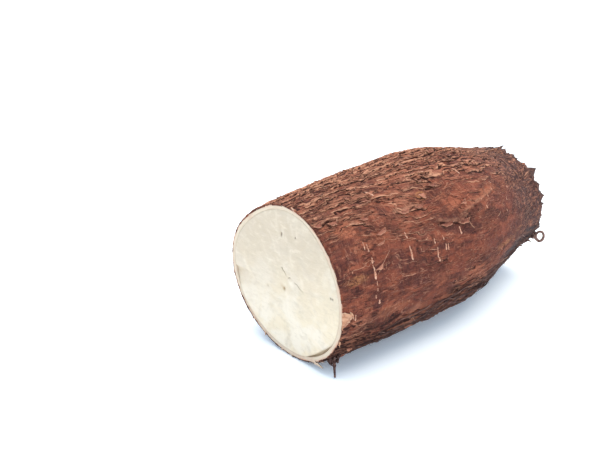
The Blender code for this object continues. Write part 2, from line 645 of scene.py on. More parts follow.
    def _warp(self) -> None:
        """Make the grain wander a little to either side."""
        slow = joined(*(Noise(3 + axis).over(self.flat, 22.0) for axis in range(3))) * 2.4 * MM
        quick = joined(*(Noise(13 + axis).over(self.flat, 6.0) for axis in range(3))) * 0.7 * MM
        around = joined(0.0, -np.sin(self.angle), np.cos(self.angle))
        drift = np.tanh((self.flat[:, 0] - self.skew_middle) / self.skew_length)
        self.skew = self.skew_reach * drift * bump(angle_gap(self.angle, 138.0), math.radians(27.0))
        self.wandering = self.flat + (slow + quick) - around * self.skew[:, None]

    def _zones(self) -> None:
        """Say where the bark is rough, worn, or dull, and where painted light and painted shade go on it.
        """
        patch = Noise(31).over(self.flat, 26.0, 3)
        top = bump(angle_gap(self.angle, 88.0), math.radians(42.0))
        side = bump(angle_gap(self.angle, 168.0), math.radians(30.0))
        low = bump(angle_gap(self.angle, 225.0), math.radians(24.0))
        back = bump(angle_gap(self.angle, 5.0), math.radians(42.0))
        under = angle_gap(self.angle, 238.0)
        self.stringy = ease(0.5 * patch - np.abs(under), -math.radians(50.0), -math.radians(24.0))
        # Painted light: the top of the bark is made lighter, in patches.
        self.dry = bump(angle_gap(self.angle, 96.0), math.radians(38.0)) * ease(0.6 + patch, 0.2, 1.1)
        self.tail = ease(self.share + 0.06 * patch, 0.71, 0.93)
        # Painted shade: a strip low on the near side towards the broken end, where the underside's fibres
        # lie in shadow.
        lower = angle_gap(self.angle, 188.0) + math.radians(4.0) * patch
        self.band = ease(lower, 0.0, math.radians(6.0))
        self.band *= 1.0 - ease(lower, math.radians(75.0), math.radians(100.0))
        self.band *= ease(self.share + 0.05 * patch, 0.60, 0.74)
        middle = bump(angle_gap(self.angle, 137.0), math.radians(20.0))
        rough = 0.40 + 0.6 * patch + 0.75 * top + 0.80 * low - 0.45 * side + 0.25 * back - 0.22 * middle
        self.rough = np.clip(rough, 0.06, 1.15) * (1.0 - 0.45 * self.tail)
        bare = Noise(41).over(self.flat, (17.0, 8.0, 8.0), 3)
        self.bare = ease(bare, 0.12, 0.36)

    def _lifted(self, strips: Strips, strip: Array) -> Array:
        """How strongly each place of the numbered strips stands off the root, 0 to 1."""
        along = self.flat[:, 0] / strips.length + strip * 7.13
        run = Noise(strips.seed + 2).layered(joined(along, strip * 0.617, strip * 0.331), 2)
        return ease(1.35 * run + 0.75 * self.rough, 0.16, 0.72)

    def _strip_layer(self, strips: Strips) -> StripMarks:
        """Lay out one size of strips.

        Args:
            strips: The strips.

        Returns:
            What they do to the bark at each place.
        """
        count = round(FULL_TURN * self.form.radius / strips.spacing)
        slow = Noise(strips.seed).over(self.flat, (38.0, 15.0, 15.0))
        quick = Noise(strips.seed + 1).over(self.flat, (5.0, 2.6, 2.6), 2)
        phase = self.angle / FULL_TURN * count + strips.wander * slow + strips.shiver * quick
        phase = phase - self.skew / strips.spacing
        for number, size in enumerate((0.6, 1.0)):
            long, cross = size * strips.length, size * 3.0 * strips.spacing
            mask = Noise(strips.seed + 6 + number).at(self.flat / np.array([long, cross, cross]))
            phase = phase + strips.jog * ease(mask, -0.05, 0.05) * (1.0 - 0.85 * self.stringy)
        strip = np.floor(phase)
        across = phase - strip
        strip = strip % count
        amount = self._lifted(strips, strip) * (0.45 + 0.55 * self.rough)
        next_amount = self._lifted(strips, (strip + 1.0) % count)
        gap = across * strips.spacing
        groove = bump(gap, strips.groove_width) * amount
        edge_side = (1.0 - across) * strips.spacing
        groove = np.maximum(groove, 0.6 * bump(edge_side, 0.22 * MM) * amount)
        height = strips.height * amount * across ** 1.7 - strips.groove * groove
        # lip: how much painted highlight the strip's raised edge gets
        lip = bump(edge_side - 0.35 * MM, 0.42 * MM) * amount * (0.5 + 0.5 * next_amount)
        ragged = Noise(strips.seed + 3).over(self.flat, 3.0)
        piece = np.floor(self.flat[:, 0] / (strips.length * 0.45) + strip * 0.61 + 0.35 * ragged)
        tint = Noise(strips.seed + 4)._mixed(joined(piece, strip, 0.0), 1)
        shape = self.form.reach.shape
        rows = phase.reshape(shape)
        rows = np.concatenate([rows, rows[:, :1] + count], axis=1)
        return StripMarks(height, groove, lip, 0.5 + (tint - 0.5) * amount, amount, rows, count)

    def _ledge_layer(self) -> tuple[Array, Array, Array]:
        """Height, painted shade in the grooves and painted highlights on the lips that the chosen ledges
        give.
        """
        height = np.zeros(len(self.flat))
        dark = np.zeros(len(self.flat))
        pale = np.zeros(len(self.flat))
        turn = self.form.radius
        wander = Noise(53).over(self.flat, 4.0, 3) * 1.0 * MM
        length = self.form.length
        along = self.share * length
        for ledge in self.ledges:
            middle = ledge.places[len(ledge.places) // 2][1]
            across = angle_gap(self.angle, middle) * turn + wander
            path = [(at * length, math.radians(angle - middle) * turn) for at, angle in ledge.places]
            gap, where = line_gap(along, across, path)
            runs = np.interp(along, [x for x, _ in path], [y for _, y in path])
            above = ease(runs - across, -0.15 * MM, 0.15 * MM)
            fade = ease(where, 0.0, 0.15) * ease(1.0 - where, 0.0, 0.15)
            groove = bump(gap, ledge.width * MM) * fade * (1.0 - 0.7 * above)
            height -= ledge.depth * MM * groove
            height += ledge.step * MM * fade * bump(gap, 3.2 * MM) * above
            # dark is painted shade in the groove; pale is a painted highlight on the upper bark's lip.
            dark = np.maximum(dark, groove * min(1.0, ledge.depth / 0.5))
            lip_width = ledge.lip_width * MM
            lip = ledge.lip * fade * bump(gap - 0.8 * lip_width, lip_width) * above
            pale = np.maximum(pale, lip)
        return height, dark, pale

    def _patch_layer(self) -> None:
        """Say how tan, how golden and how dusky the worn patches make each place."""
        self.tan = np.zeros(len(self.flat))
        self.golden = np.zeros(len(self.flat))
        self.dusky = np.zeros(len(self.flat))
        turn = self.form.radius
        fray = Noise(57).over(self.flat, (4.0, 1.6, 1.6), 3) * 0.9
        for patch in self.patches:
            along = (self.share - patch.share) * self.form.length / (patch.length * MM)
            across = angle_gap(self.angle, patch.degrees) * turn / (patch.width * MM)
            inside = ease(1.15 - np.hypot(along, across) + fray, 0.0, 0.5)
            self.tan = np.maximum(self.tan, patch.tan * inside)
            self.golden = np.maximum(self.golden, patch.golden * inside)
            self.dusky = np.maximum(self.dusky, patch.dusky * inside)

    def _roll(self) -> Array:
        """The long soft roll of stringy bark low on the near side, with a crease above it."""
        sway = math.radians(1.0) * Noise(67).over(self.flat, 18.0) * 5.0
        turn = angle_gap(self.angle, 214.0) + sway - math.radians(9.0) * self.share
        run = ease(self.share, 0.0, 0.10) * (1.0 - ease(self.share, 0.60, 0.82))
        crease = bump(turn + math.radians(15.0), math.radians(4.0))
        return self.roll_height * run * (bump(turn, math.radians(9.0)) - 0.5 * crease)

    def _layers(self) -> None:
        """Add up the layers of relief and note the painted shade in the cracks, the painted highlights on
        the lips, and the tints.
        """
        rough = self.rough
        lumps = Noise(61).over(self.flat, 27.0, 3) * self.lump_height
        wide = self._strip_layer(self.wide_strips)
        fine = self._strip_layer(self.fine_strips)

        plates = Noise(83).cells(self.grain(7.5 * MM, 2.8 * MM))
        tilt = plates.offset[:, 0] * (plates.second_chance - 0.5)
        plate_edge = 1.0 - ease(plates.edge, 0.0, 0.14)
        plate = (plates.chance - 0.5) * 0.7 + tilt * 0.8 - plate_edge * 0.5
        plate_weight = 0.25 + 0.75 * ease(rough, 0.15, 0.8)
        scales = Noise(89).cells(self.grain(2.6 * MM, 1.3 * MM))
        scale_edge = 1.0 - ease(scales.edge, 0.0, 0.25)
        scale = (scales.chance - 0.5) - 0.7 * scale_edge
        grain = Noise(97).layered(self.grain(5.0 * MM, 0.9 * MM), 2, 0.6)
        hairline = bump(Noise(101).layered(self.grain(1.6 * MM, 7.0 * MM), 2, 0.6), 0.07)
        hairline *= ease(Noise(103).over(self.flat, 8.0), -0.1, 0.3)

        ledge_height, ledge_shade, ledge_highlight = self._ledge_layer()
        self._patch_layer()
        rim = 1.0 - 0.55 * bump(self.share, 0.03)
        calm = 1.0 - 0.45 * self.stringy
        height = lumps + (wide.height - self.wide_strips.height * 0.3) * calm
        height += fine.height * (1.0 + 1.3 * self.stringy) + self._roll()
        height += plate * self.plate_height * plate_weight * calm
        height += scale * self.scale_height * (0.35 + 0.65 * rough)
        height += grain * self.grain_height * (0.4 + 0.6 * rough)
        height += ledge_height - 0.08 * MM * hairline
        self.height = height * rim

        # Painted shade: darkens the grooves, gaps, plate edges and hairlines in colour, over the real
        # relief.
        crack = np.maximum(0.6 * wide.groove * calm, 0.5 * fine.groove)
        crack = np.maximum(crack, 0.5 * plate_edge * plate_weight * calm)
        crack = np.maximum(crack, 0.35 * hairline * (1.0 - 0.5 * rough))
        self.crack = np.clip(np.maximum(crack, ledge_shade), 0.0, 1.0)
        # Painted highlight: the raised lips of strips and ledges are lightened.
        self.crest = np.clip(np.maximum(0.4 * wide.lip, ledge_highlight), 0.0, 1.0)
        self.plate_tint = 0.5 + (plates.second_chance - 0.5) * plate_weight * 0.8 + (wide.tint - 0.5) * 0.5
        self.scale_tint = 0.5 * scales.chance + 0.5 * fine.tint
        self.wide = wide
        self.fine = fine

    def shape(self) -> Array:
        """The skin's real points: the form pushed out by the relief and kept above the floor.

        Returns:
            The grid of points, rings first.
        """
        form = self.form
        points = form.points + form.normals * self.height.reshape(form.reach.shape)[..., None]
        points[..., 2] = np.maximum(points[..., 2], FLOOR_GAP)
        return points

    def values(self) -> dict[str, Array]:
        """The painted shade and highlights of grooves, lips, underside and top, and the tints, that the
        finish reads, each on the grid.
        """
        # low: how far round towards the underside a place lies; the finish paints shade there
        low = ease(-np.sin(self.angle), 0.05, 0.9)
        flat = {
            "crack": self.crack, "crest": self.crest, "plate_tint": self.plate_tint,
            "scale_tint": self.scale_tint, "bare": self.bare, "tail": self.tail, "low": low,
            "tan": self.tan, "golden": self.golden, "dusky": self.dusky, "wide_amount": self.wide.amount,
            "fine_amount": self.fine.amount, "stringy": self.stringy, "dry": self.dry,
            "rough": np.clip(self.rough, 0.0, 1.0), "band": self.band,
        }
        return {name: numbers.reshape(self.form.reach.shape) for name, numbers in flat.items()}


@dataclass
class SkinSheet:
    """The finished skin, on which other pieces are laid."""

    form: RootForm
    points: Array

    def spots(self, shares: Array | float, degrees: Array | float) -> tuple[Array, Array]:
        """Places on the skin and the way it faces there.

        Args:
            shares: How far along the root, 0 to 1.
            degrees: How far around it.

        Returns:
            The points and the outward ways, in the shape of the two inputs.
        """
        form = self.form
        degrees = np.asarray(degrees)
        ring = np.clip(shares, 0.0, 1.0) * (form.rings - 1)
        spoke = (degrees / 360.0 % 1.0) * form.around
        low = np.minimum(ring.astype(int), form.rings - 2)
        left = spoke.astype(int) % form.around
        right = (left + 1) % form.around
        u = (ring - low)[..., None]
        v = (spoke - np.floor(spoke))[..., None]
        found = []
        for grid in (self.points, form.normals):
            near = grid[low, left] * (1.0 - v) + grid[low, right] * v
            far = grid[low + 1, left] * (1.0 - v) + grid[low + 1, right] * v
            found.append(near * (1.0 - u) + far * u)
        outs = found[1] / np.linalg.norm(found[1], axis=-1, keepdims=True)
        return found[0], outs

    def per_turn(self, millimetres: float) -> float:
        """How many degrees around the root a length takes."""
        return math.degrees(millimetres * MM / self.form.radius)

    def per_length(self, millimetres: float) -> float:
        """What share of the root's length a length takes."""
        return millimetres * MM / self.form.length


# ---- finishes -----------------------------------------------------------------------------------

class NodeSheet:
    """One material's nodes, with short ways to add to them."""

    def __init__(self, name: str, colour: Colour) -> None:
        """Start a material with a Principled shader and one colour all over."""
        self.colour: Socket | Colour = colour
        self.material = bpy.data.materials.new(name)
        self.material.use_nodes = True
        self.tree = self.material.node_tree
        self.shader = self.tree.nodes["Principled BSDF"]
        self.place = self._node("TexCoord").outputs["Object"]

    def link(self, source: Socket, target: Socket) -> None:
        """Join two sockets."""
        self.tree.links.new(source, target)

    def put(self, value: object, socket: Socket) -> None:
        """Give a socket a link or a constant."""
        if isinstance(value, Socket):
            self.link(value, socket)
        elif isinstance(value, tuple) and len(value) == 3 and socket.type == "RGBA":
            socket.default_value = (*value, 1.0)
        else:
            socket.default_value = value

    def _node(self, kind: str, **inputs: object) -> bpy.types.Node:
        """Add a node and fill its inputs, named with _ for each space."""
        node = self.tree.nodes.new("ShaderNode" + kind)
        for name, value in inputs.items():
            self.put(value, node.inputs[name.replace("_", " ")])
        return node

    def value_of(self, name: str) -> Socket:
        """A number stored on the mesh's points."""
        node = self._node("Attribute")
        node.attribute_name = name
        return node.outputs["Fac"]

    def map_of(self, name: str) -> tuple[Socket, Socket]:
        """Both coordinates of one of the mesh's maps."""
        node = self._node("UVMap")
        node.uv_map = name
        parts = self._node("SeparateXYZ", Vector=node.outputs["UV"])
        return parts.outputs["X"], parts.outputs["Y"]

    def follow(self, name: str, count: int, radius: float) -> None:
        """Measure places along the bark's wandering strips from here on.

        Args:
            name: The map that numbers the strips.
            count: How many strips go round the root.
            radius: The root's usual radius.
        """
        run, number = self.map_of(name)
        turn = self.math("MULTIPLY", number, FULL_TURN / count)
        parts = self._node("CombineXYZ")
        self.link(self.math("MULTIPLY", run, MM), parts.inputs["X"])
        self.link(self.math("MULTIPLY", self.math("COSINE", turn), radius), parts.inputs["Y"])
        self.link(self.math("MULTIPLY", self.math("SINE", turn), radius), parts.inputs["Z"])
        self.place = parts.outputs["Vector"]

    def noise(self, stretch: Colour, detail: float = 3.0, rough: float = 0.5,
              warp: float = 0.0) -> Socket:
        """Noise with a grain given per metre on each axis.

        Args:
            stretch: Grains per metre along X, Y and Z.
            detail: Octaves of finer noise.
            rough: How strong the finer octaves are.
            warp: How much the pattern is bent by itself.

        Returns:
            The noise, 0 to 1.
        """
        scaled = self._node("Mapping", Scale=stretch, Vector=self.place)
        node = self._node("TexNoise", Scale=1.0, Detail=detail, Roughness=rough, Distortion=warp,
                          Vector=scaled.outputs["Vector"])
        return node.outputs["Fac"]

    def line(self, stretch: Colour, width: float, detail: float = 2.0, warp: float = 0.3) -> Socket:
        """Thin wandering lines with a grain given per metre on each axis.

        Args:
            stretch: Grains per metre along X, Y and Z.
            width: The lines' width against the grain.
            detail: Octaves of finer noise.
            warp: How much the pattern is bent by itself.

        Returns:
            1 on a line, 0 away from it.
        """
        middle = self.math("SUBTRACT", self.noise(stretch, detail, 0.5, warp), 0.5)
        return self.spread(self.math("ABSOLUTE", middle), 0.0, width, 1.0, 0.0)

    def product(self, *values: object) -> Socket:
        """Values multiplied together."""
        result = values[0]
        for value in values[1:]:
            result = self.math("MULTIPLY", result, value)
        return result

    def math(self, operation: str, first: object, second: object = 0.0,
             clamp: bool = False) -> Socket:
        """One arithmetic step.

        Args:
            operation: Blender's name of the step.
            first: The first number or socket.
            second: The second number or socket.
            clamp: Whether the result is kept from 0 to 1.

        Returns:
            The result.
        """
        node = self._node("Math")
        node.operation = operation
        node.use_clamp = clamp
        self.put(first, node.inputs[0])
        self.put(second, node.inputs[1])
        return node.outputs[0]

    def spread(self, value: object, low: float, high: float, out_low: float = 0.0,
               out_high: float = 1.0) -> Socket:
        """Stretch a range of a value over another range, and stop at its ends.

        Args:
            value: The value.
            low: Where the range starts.
            high: Where the range ends.
            out_low: The result at the start.
            out_high: The result at the end.

        Returns:
            The stretched value.
        """
        node = self._node("MapRange", Value=value, From_Min=low, From_Max=high, To_Min=out_low,
                          To_Max=out_high)
        node.interpolation_type = "SMOOTHSTEP"
        return node.outputs["Result"]

    def lay(self, colour: Colour, *factors: object) -> None:
        """Blend a colour over what is there.

        Args:
            colour: The colour.
            *factors: Numbers or sockets that say how strongly, multiplied together.
        """
        node = self._node("Mix")
        node.data_type = "RGBA"
        self.put(self.product(*factors), node.inputs["Factor"])
        self.put(self.colour, node.inputs["A"])
        self.put(colour, node.inputs["B"])
        self.colour = node.outputs["Result"]

    def tint(self, colour: Colour, value: object, low: float, high: float, most: float,
             *factors: object) -> None:
        """Blend a colour over what is there as a value goes through a range.

        Args:
            colour: The colour.
            value: The value.
            low: Where the colour starts.
            high: Where the colour is strongest.
            most: How strong it gets.
            *factors: More numbers or sockets that its strength is multiplied by.
        """
        self.lay(colour, self.spread(value, low, high, 0.0, most), *factors)

    def bump(self, height: Socket, depth: float, strength: float = 1.0,
             under: Socket | None = None) -> Socket:
        """Fine relief for the shader.

        Args:
            height: The pattern, 0 to 1.
            depth: The relief's real depth.
            strength: How much of it shows.
            under: A coarser relief that this one lies on.

        Returns:
            The bent normal.
        """
        node = self._node("Bump", Strength=strength, Distance=depth, Height=height)
        if under is not None:
            self.link(under, node.inputs["Normal"])
        return node.outputs["Normal"]

    def finished(self, normal: Socket, wear: Socket, span: Place, roughness: Place,
                 specular: float) -> bpy.types.Material:
        """Join the colour, the relief and the roughness to the shader.

        Args:
            normal: The bent normal.
            wear: The pattern that the roughness follows.
            span: The part of the pattern's range that it follows.
            roughness: The roughness at both ends of that range.
            specular: How strongly the surface reflects.

        Returns:
            The finished material.
        """
        inputs = self.shader.inputs
        self.link(self.colour, inputs["Base Color"])
        self.link(normal, inputs["Normal"])
        self.link(self.spread(wear, *span, *roughness), inputs["Roughness"])
        inputs["Specular IOR Level"].default_value = specular
        return self.material


@dataclass(frozen=True)
class BarkFinish:
    """The matt, reddish-brown, papery skin."""

    name: str = "bark"
    # dark brown: the bark's own dark lines, and painted shade in gaps and grooves
    crevice: Colour = srgb(50, 24, 19)
    umber: Colour = srgb(82, 41, 33)
    russet: Colour = srgb(132, 69, 50)
    tan: Colour = srgb(178, 116, 90)
    straw: Colour = srgb(204, 146, 116)
    peel: Colour = srgb(172, 100, 73)
    brick: Colour = srgb(130, 67, 54)
    golden: Colour = srgb(160, 104, 68)
    plum: Colour = srgb(86, 48, 44)
    slate: Colour = srgb(80, 59, 57)
    # painted shade that darkens the underside
    underside_shade: Colour = srgb(46, 28, 26)
    # blue grey painted shadow for the shaded underside near the broken end
    underside_shadow: Colour = srgb(58, 50, 52)
    dusk: Colour = srgb(68, 34, 33)
    ash: Colour = srgb(124, 108, 102)
    roughness: Place = (0.72, 0.92)
    specular: float = 0.14
    wide_spacing: float = 3.6
    fine_spacing: float = 1.65
    wide_count: int = 66
    radius: float = 38.0 * MM

    def _ground(self, sheet: NodeSheet) -> None:
        """Lay the bark's slow changes of colour, strip by strip."""
        plate = sheet.value_of("plate_tint")
        scale = sheet.value_of("scale_tint")
        broad = sheet.noise((60.0, 130.0, 130.0), 4.0, 0.65, 0.8)
        sheet.lay(self.russet, sheet.spread(broad, 0.41, 0.59))
        # Painted light: tan over the top of the root.
        sheet.lay(self.tan, sheet.value_of("dry"), 0.34)
        dull = sheet.noise((45.0, 85.0, 85.0), 3.0, 0.6, 0.5)
        sheet.tint(self.plum, dull, 0.54, 0.68, 0.55)
        tint = sheet.noise((170.0, 480.0, 480.0), 3.0, 0.6, 0.4)
        sheet.tint(self.plum, tint, 0.50, 0.68, 0.5)
        sheet.tint(self.brick, tint, 0.46, 0.30, 0.45)
        sheet.tint(self.tan, plate, 0.55, 0.95, 0.45)
        sheet.tint(self.plum, plate, 0.42, 0.05, 0.6)
        sheet.tint(self.tan, scale, 0.66, 1.0, 0.3)
        sheet.lay(self.brick, sheet.value_of("bare"), 0.3)
        torn = sheet.spread(sheet.noise((420.0, 900.0, 900.0), 2.0, 0.6), 0.36, 0.60, 0.25, 1.0)
        sheet.lay(self.peel, sheet.value_of("tan"), torn)
        sheet.lay(self.golden, sheet.value_of("golden"), torn)
        sheet.lay(self.dusk, sheet.value_of("dusky"), torn, 0.85)
        worn = sheet.noise((260.0, 420.0, 420.0), 4.0, 0.65, 0.6)
        sheet.lay(self.slate, sheet.value_of("tail"), sheet.spread(worn, 0.36, 0.62, 0.55, 1.0))

    def _strip_lines(self, sheet: NodeSheet, size: str, spacing: float,
                     width: float) -> tuple[Socket, Socket]:
        """The painted shadow in the gap under each strip's lifted edge, and the painted highlight on the
        edge itself.

        Args:
            sheet: The material's nodes.
            size: Which strips: "wide" or "fine".
            spacing: The strips' spacing in millimetres.
            width: The gaps' width in millimetres.

        Returns:
            The gap's painted shadow and the edge's painted highlight, each 0 to 1.
        """
        _, number = sheet.map_of(size + "_strips")
        across = sheet.math("FRACT", number)
        fray = sheet.noise((260.0, 520.0, 520.0), 3.0, 0.6)
        weight = sheet.value_of(size + "_amount")
        # The painted shadow is drawn wider on the underside.
        reach = sheet.product(sheet.spread(fray, 0.36, 0.66, 0.25, 1.9), sheet.spread(weight, 0.1, 0.8),
                              sheet.spread(sheet.value_of("low"), 0.1, 0.7, 1.0, 1.7), width / spacing)
        reach = sheet.math("MAXIMUM", reach, 0.001)
        gap = sheet.math("SUBTRACT", 1.0, sheet.math("DIVIDE", across, reach), True)
        pale_reach = sheet.product(sheet.spread(fray, 0.40, 0.62, 1.6, 0.2), weight, 0.62 / spacing)
        pale_reach = sheet.math("MAXIMUM", pale_reach, 0.001)
        back = sheet.math("SUBTRACT", 1.0, across)
        edge = sheet.math("SUBTRACT", 1.0, sheet.math("DIVIDE", back, pale_reach), True)
        return sheet.spread(gap, 0.0, 0.4), sheet.spread(edge, 0.0, 0.6)

    def material(self) -> bpy.types.Material:
        """Mix the bark's colours and fine relief.

        Returns:
            The finished material.
        """
        sheet = NodeSheet(self.name, self.umber)
        self._ground(sheet)
        sheet.follow("wide_strips", self.wide_count, self.radius)
        rough = sheet.spread(sheet.value_of("rough"), 0.0, 0.9, 0.25, 1.0)
        streak = sheet.noise((130.0, 1000.0, 1000.0), 3.0, 0.6, 0.3)
        sheet.tint(self.crevice, streak, 0.48, 0.30, 0.65, rough)
        sheet.tint(self.tan, streak, 0.53, 0.72, 0.6, rough)
        fleck = sheet.noise((420.0, 1050.0, 1050.0), 2.0, 0.6)
        sheet.tint(self.tan, fleck, 0.58, 0.76, 0.5)
        sheet.tint(self.crevice, fleck, 0.42, 0.26, 0.45)
        crackle = sheet.noise((470.0, 540.0, 540.0), 3.0, 0.65, 0.8)
        worn = sheet.spread(sheet.value_of("tail"), 0.0, 1.0, 0.12, 1.0)
        sheet.tint(self.tan, crackle, 0.52, 0.66, 0.7, worn)
        sheet.tint(self.crevice, crackle, 0.48, 0.36, 0.85, worn)

        gate = sheet.noise((90.0, 110.0, 110.0), 2.0, 0.5)
        other_gate = sheet.noise((120.0, 90.0, 90.0), 2.0, 0.5)
        dark_hair = sheet.product(sheet.line((95.0, 430.0, 430.0), 0.030), sheet.spread(gate, 0.46, 0.56))
        pale_hair = sheet.product(sheet.line((120.0, 520.0, 520.0), 0.022),
                                  sheet.spread(other_gate, 0.48, 0.58))
        cross_hair = sheet.product(sheet.line((560.0, 130.0, 130.0), 0.024), sheet.spread(gate, 0.52, 0.42))
        cross_pale = sheet.product(sheet.line((480.0, 100.0, 100.0), 0.016),
                                   sheet.spread(other_gate, 0.54, 0.44))
        mesh_hair = sheet.product(sheet.line((230.0, 260.0, 260.0), 0.020),
                                  sheet.spread(sheet.value_of("rough"), 0.25, 0.6, 1.0, 0.0))
        sheet.lay(self.crevice, mesh_hair, 0.5)
        sheet.lay(self.crevice, dark_hair, 0.8)
        sheet.lay(self.crevice, cross_hair, 0.5)
        sheet.lay(self.straw, pale_hair, 0.35)
        sheet.lay(self.straw, cross_pale, 0.2)

        wide_gap_shade, wide_edge_highlight = self._strip_lines(sheet, "wide", self.wide_spacing, 0.62)
        fine_gap_shade, fine_edge_highlight = self._strip_lines(sheet, "fine", self.fine_spacing, 0.42)
        # Painted highlights: pale straw and tan on the raised lips and strip edges.
        lit = sheet.product(sheet.value_of("crest"), sheet.spread(fleck, 0.36, 0.58, 0.25, 1.0))
        sheet.lay(self.straw, wide_edge_highlight, 0.7)
        sheet.lay(self.tan, fine_edge_highlight, 0.55)
        sheet.lay(self.straw, lit, 0.9)
        thread = sheet.noise((52.0, 700.0, 700.0), 3.0, 0.6)
        strings = sheet.value_of("stringy")
        # Painted highlight on the raised fibre ridges and painted shade between them, following the thread
        # bump.
        sheet.tint(self.tan, thread, 0.52, 0.61, 0.95, strings)
        sheet.tint(self.crevice, thread, 0.48, 0.40, 1.0, strings)
        # Painted shade: the bark darkens towards the underside, where it faces the floor.
        sheet.lay(self.underside_shade, sheet.value_of("low"), 0.82)
        fibre = sheet.noise((60.0, 700.0, 700.0), 3.0, 0.6, 0.4)
        # Painted shadow on the underside fibres near the broken end, with pale fibre streaks laid over it.
        sheet.lay(self.underside_shadow, sheet.value_of("band"), sheet.spread(fibre, 0.34, 0.62, 0.95, 0.35))
        sheet.lay(self.ash, sheet.value_of("band"), sheet.spread(fibre, 0.58, 0.72, 0.0, 0.7))
        # Painted shadow in the gaps under the strips' lifted edges.
        sheet.lay(self.crevice, fine_gap_shade, 0.85)
        sheet.lay(self.crevice, wide_gap_shade, 0.95)
        # Painted shade in the grooves and gaps that the relief holds.
        sheet.tint(self.crevice, sheet.value_of("crack"), 0.15, 0.75, 0.9)

        fibres = sheet.noise((260.0, 2600.0, 2600.0), 4.0, 0.6, 0.2)
        grit = sheet.noise((2200.0, 2200.0, 2200.0), 4.0, 0.65)
        sunk = sheet.math("SUBTRACT", 1.0, sheet.math("MAXIMUM", dark_hair, sheet.product(cross_hair, 0.6)))
        normal = sheet.bump(sunk, 0.25 * MM, 0.8)
        normal = sheet.bump(sheet.product(sheet.spread(thread, 0.34, 0.66), strings), 1.2 * MM, 0.9, normal)
        crust = sheet.product(crackle, sheet.spread(worn, 0.0, 1.0, 0.25, 1.0))
        normal = sheet.bump(crust, 0.9 * MM, 0.9, normal)
        normal = sheet.bump(fibres, 0.45 * MM, 0.9, normal)
        normal = sheet.bump(grit, 0.25 * MM, 0.8, normal)
        return sheet.finished(normal, fleck, (0.3, 0.7), self.roughness, self.specular)


@dataclass(frozen=True)
class FleshFinish:
    """The dense white starchy flesh of a cut."""

    name: str = "flesh"
    milk: Colour = srgb(223, 210, 192)
    cream: Colour = srgb(218, 201, 175)
    top_shade: Colour = srgb(188, 171, 150)
    grey: Colour = srgb(184, 168, 148)
    stain: Colour = srgb(164, 132, 92)
    dark: Colour = srgb(76, 64, 54)
    roughness: Place = (0.47, 0.65)
    specular: float = 0.35
    scatter: float = 0.12
    scatter_colour: Colour = (1.0, 0.7, 0.5)
    scatter_reach: float = 1.2 * MM

    def material(self) -> bpy.types.Material:
        """Mix the flesh's colours and fine relief.

        Returns:
            The finished material.
        """
        sheet = NodeSheet(self.name, self.milk)
        mottle = sheet.noise((60.0, 75.0, 75.0), 4.0, 0.6, 0.6)
        sheet.lay(self.cream, sheet.spread(mottle, 0.40, 0.60))
        # Painted shade: the cut face is darker and greyer towards its top.
        sheet.lay(self.top_shade, sheet.value_of("upper"), 0.85)
        cloud = sheet.noise((110.0, 130.0, 130.0), 4.0, 0.6, 0.8)
        sheet.tint(self.grey, cloud, 0.50, 0.70, 0.35)
        sheet.tint(self.milk, cloud, 0.48, 0.32, 0.35)
        smear = sheet.noise((300.0, 240.0, 620.0), 3.0, 0.6, 0.4)
        sheet.tint(self.grey, smear, 0.52, 0.72, 0.28)
        sheet.tint(self.milk, smear, 0.48, 0.28, 0.28)
        ray = sheet.value_of("ray")
        sheet.tint(self.grey, ray, 0.05, 0.60, 0.22)
        sheet.tint(self.milk, ray, -0.05, -0.60, 0.22)
        # Painted highlight on the small knob near the middle of the cut face.
        sheet.lay(self.milk, sheet.value_of("white"), 0.8)
        sheet.lay(self.stain, sheet.value_of("stain"))
        sheet.lay(self.dark, sheet.value_of("dark"))
        starch = sheet.noise((1500.0, 1500.0, 1500.0), 4.0, 0.6)
        normal = sheet.bump(smear, 0.35 * MM, 0.7)
        normal = sheet.bump(starch, 0.12 * MM, 0.6, normal)
        sheet.shader.inputs["Subsurface Weight"].default_value = self.scatter
        sheet.shader.inputs["Subsurface Radius"].default_value = self.scatter_colour
        sheet.shader.inputs["Subsurface Scale"].default_value = self.scatter_reach
        return sheet.finished(normal, starch, (0.35, 0.65), self.roughness, self.specular)


@dataclass(frozen=True)
class RindFinish:
    """The pale layer between flesh and skin, pinkish towards the skin."""

    name: str = "rind"
    pale: Colour = srgb(203, 186, 164)
    blush: Colour = srgb(190, 141, 117)
    stain: Colour = srgb(150, 108, 76)
    roughness: Place = (0.47, 0.65)
    specular: float = 0.3

    def material(self) -> bpy.types.Material:
        """Mix the rind's colours.

        Returns:
            The finished material.
        """
        sheet = NodeSheet(self.name, self.pale)
        patch = sheet.noise((140.0, 140.0, 140.0), 4.0, 0.6, 0.4)
        sheet.tint(self.blush, patch, 0.4, 0.7, 0.35)
        sheet.lay(self.blush, sheet.value_of("blush"))
        sheet.lay(self.stain, sheet.value_of("stain"))
        grit = sheet.noise((1700.0, 1700.0, 1700.0), 4.0, 0.6)
        normal = sheet.bump(grit, 0.12 * MM, 0.6)
        return sheet.finished(normal, grit, (0.35, 0.65), self.roughness, self.specular)


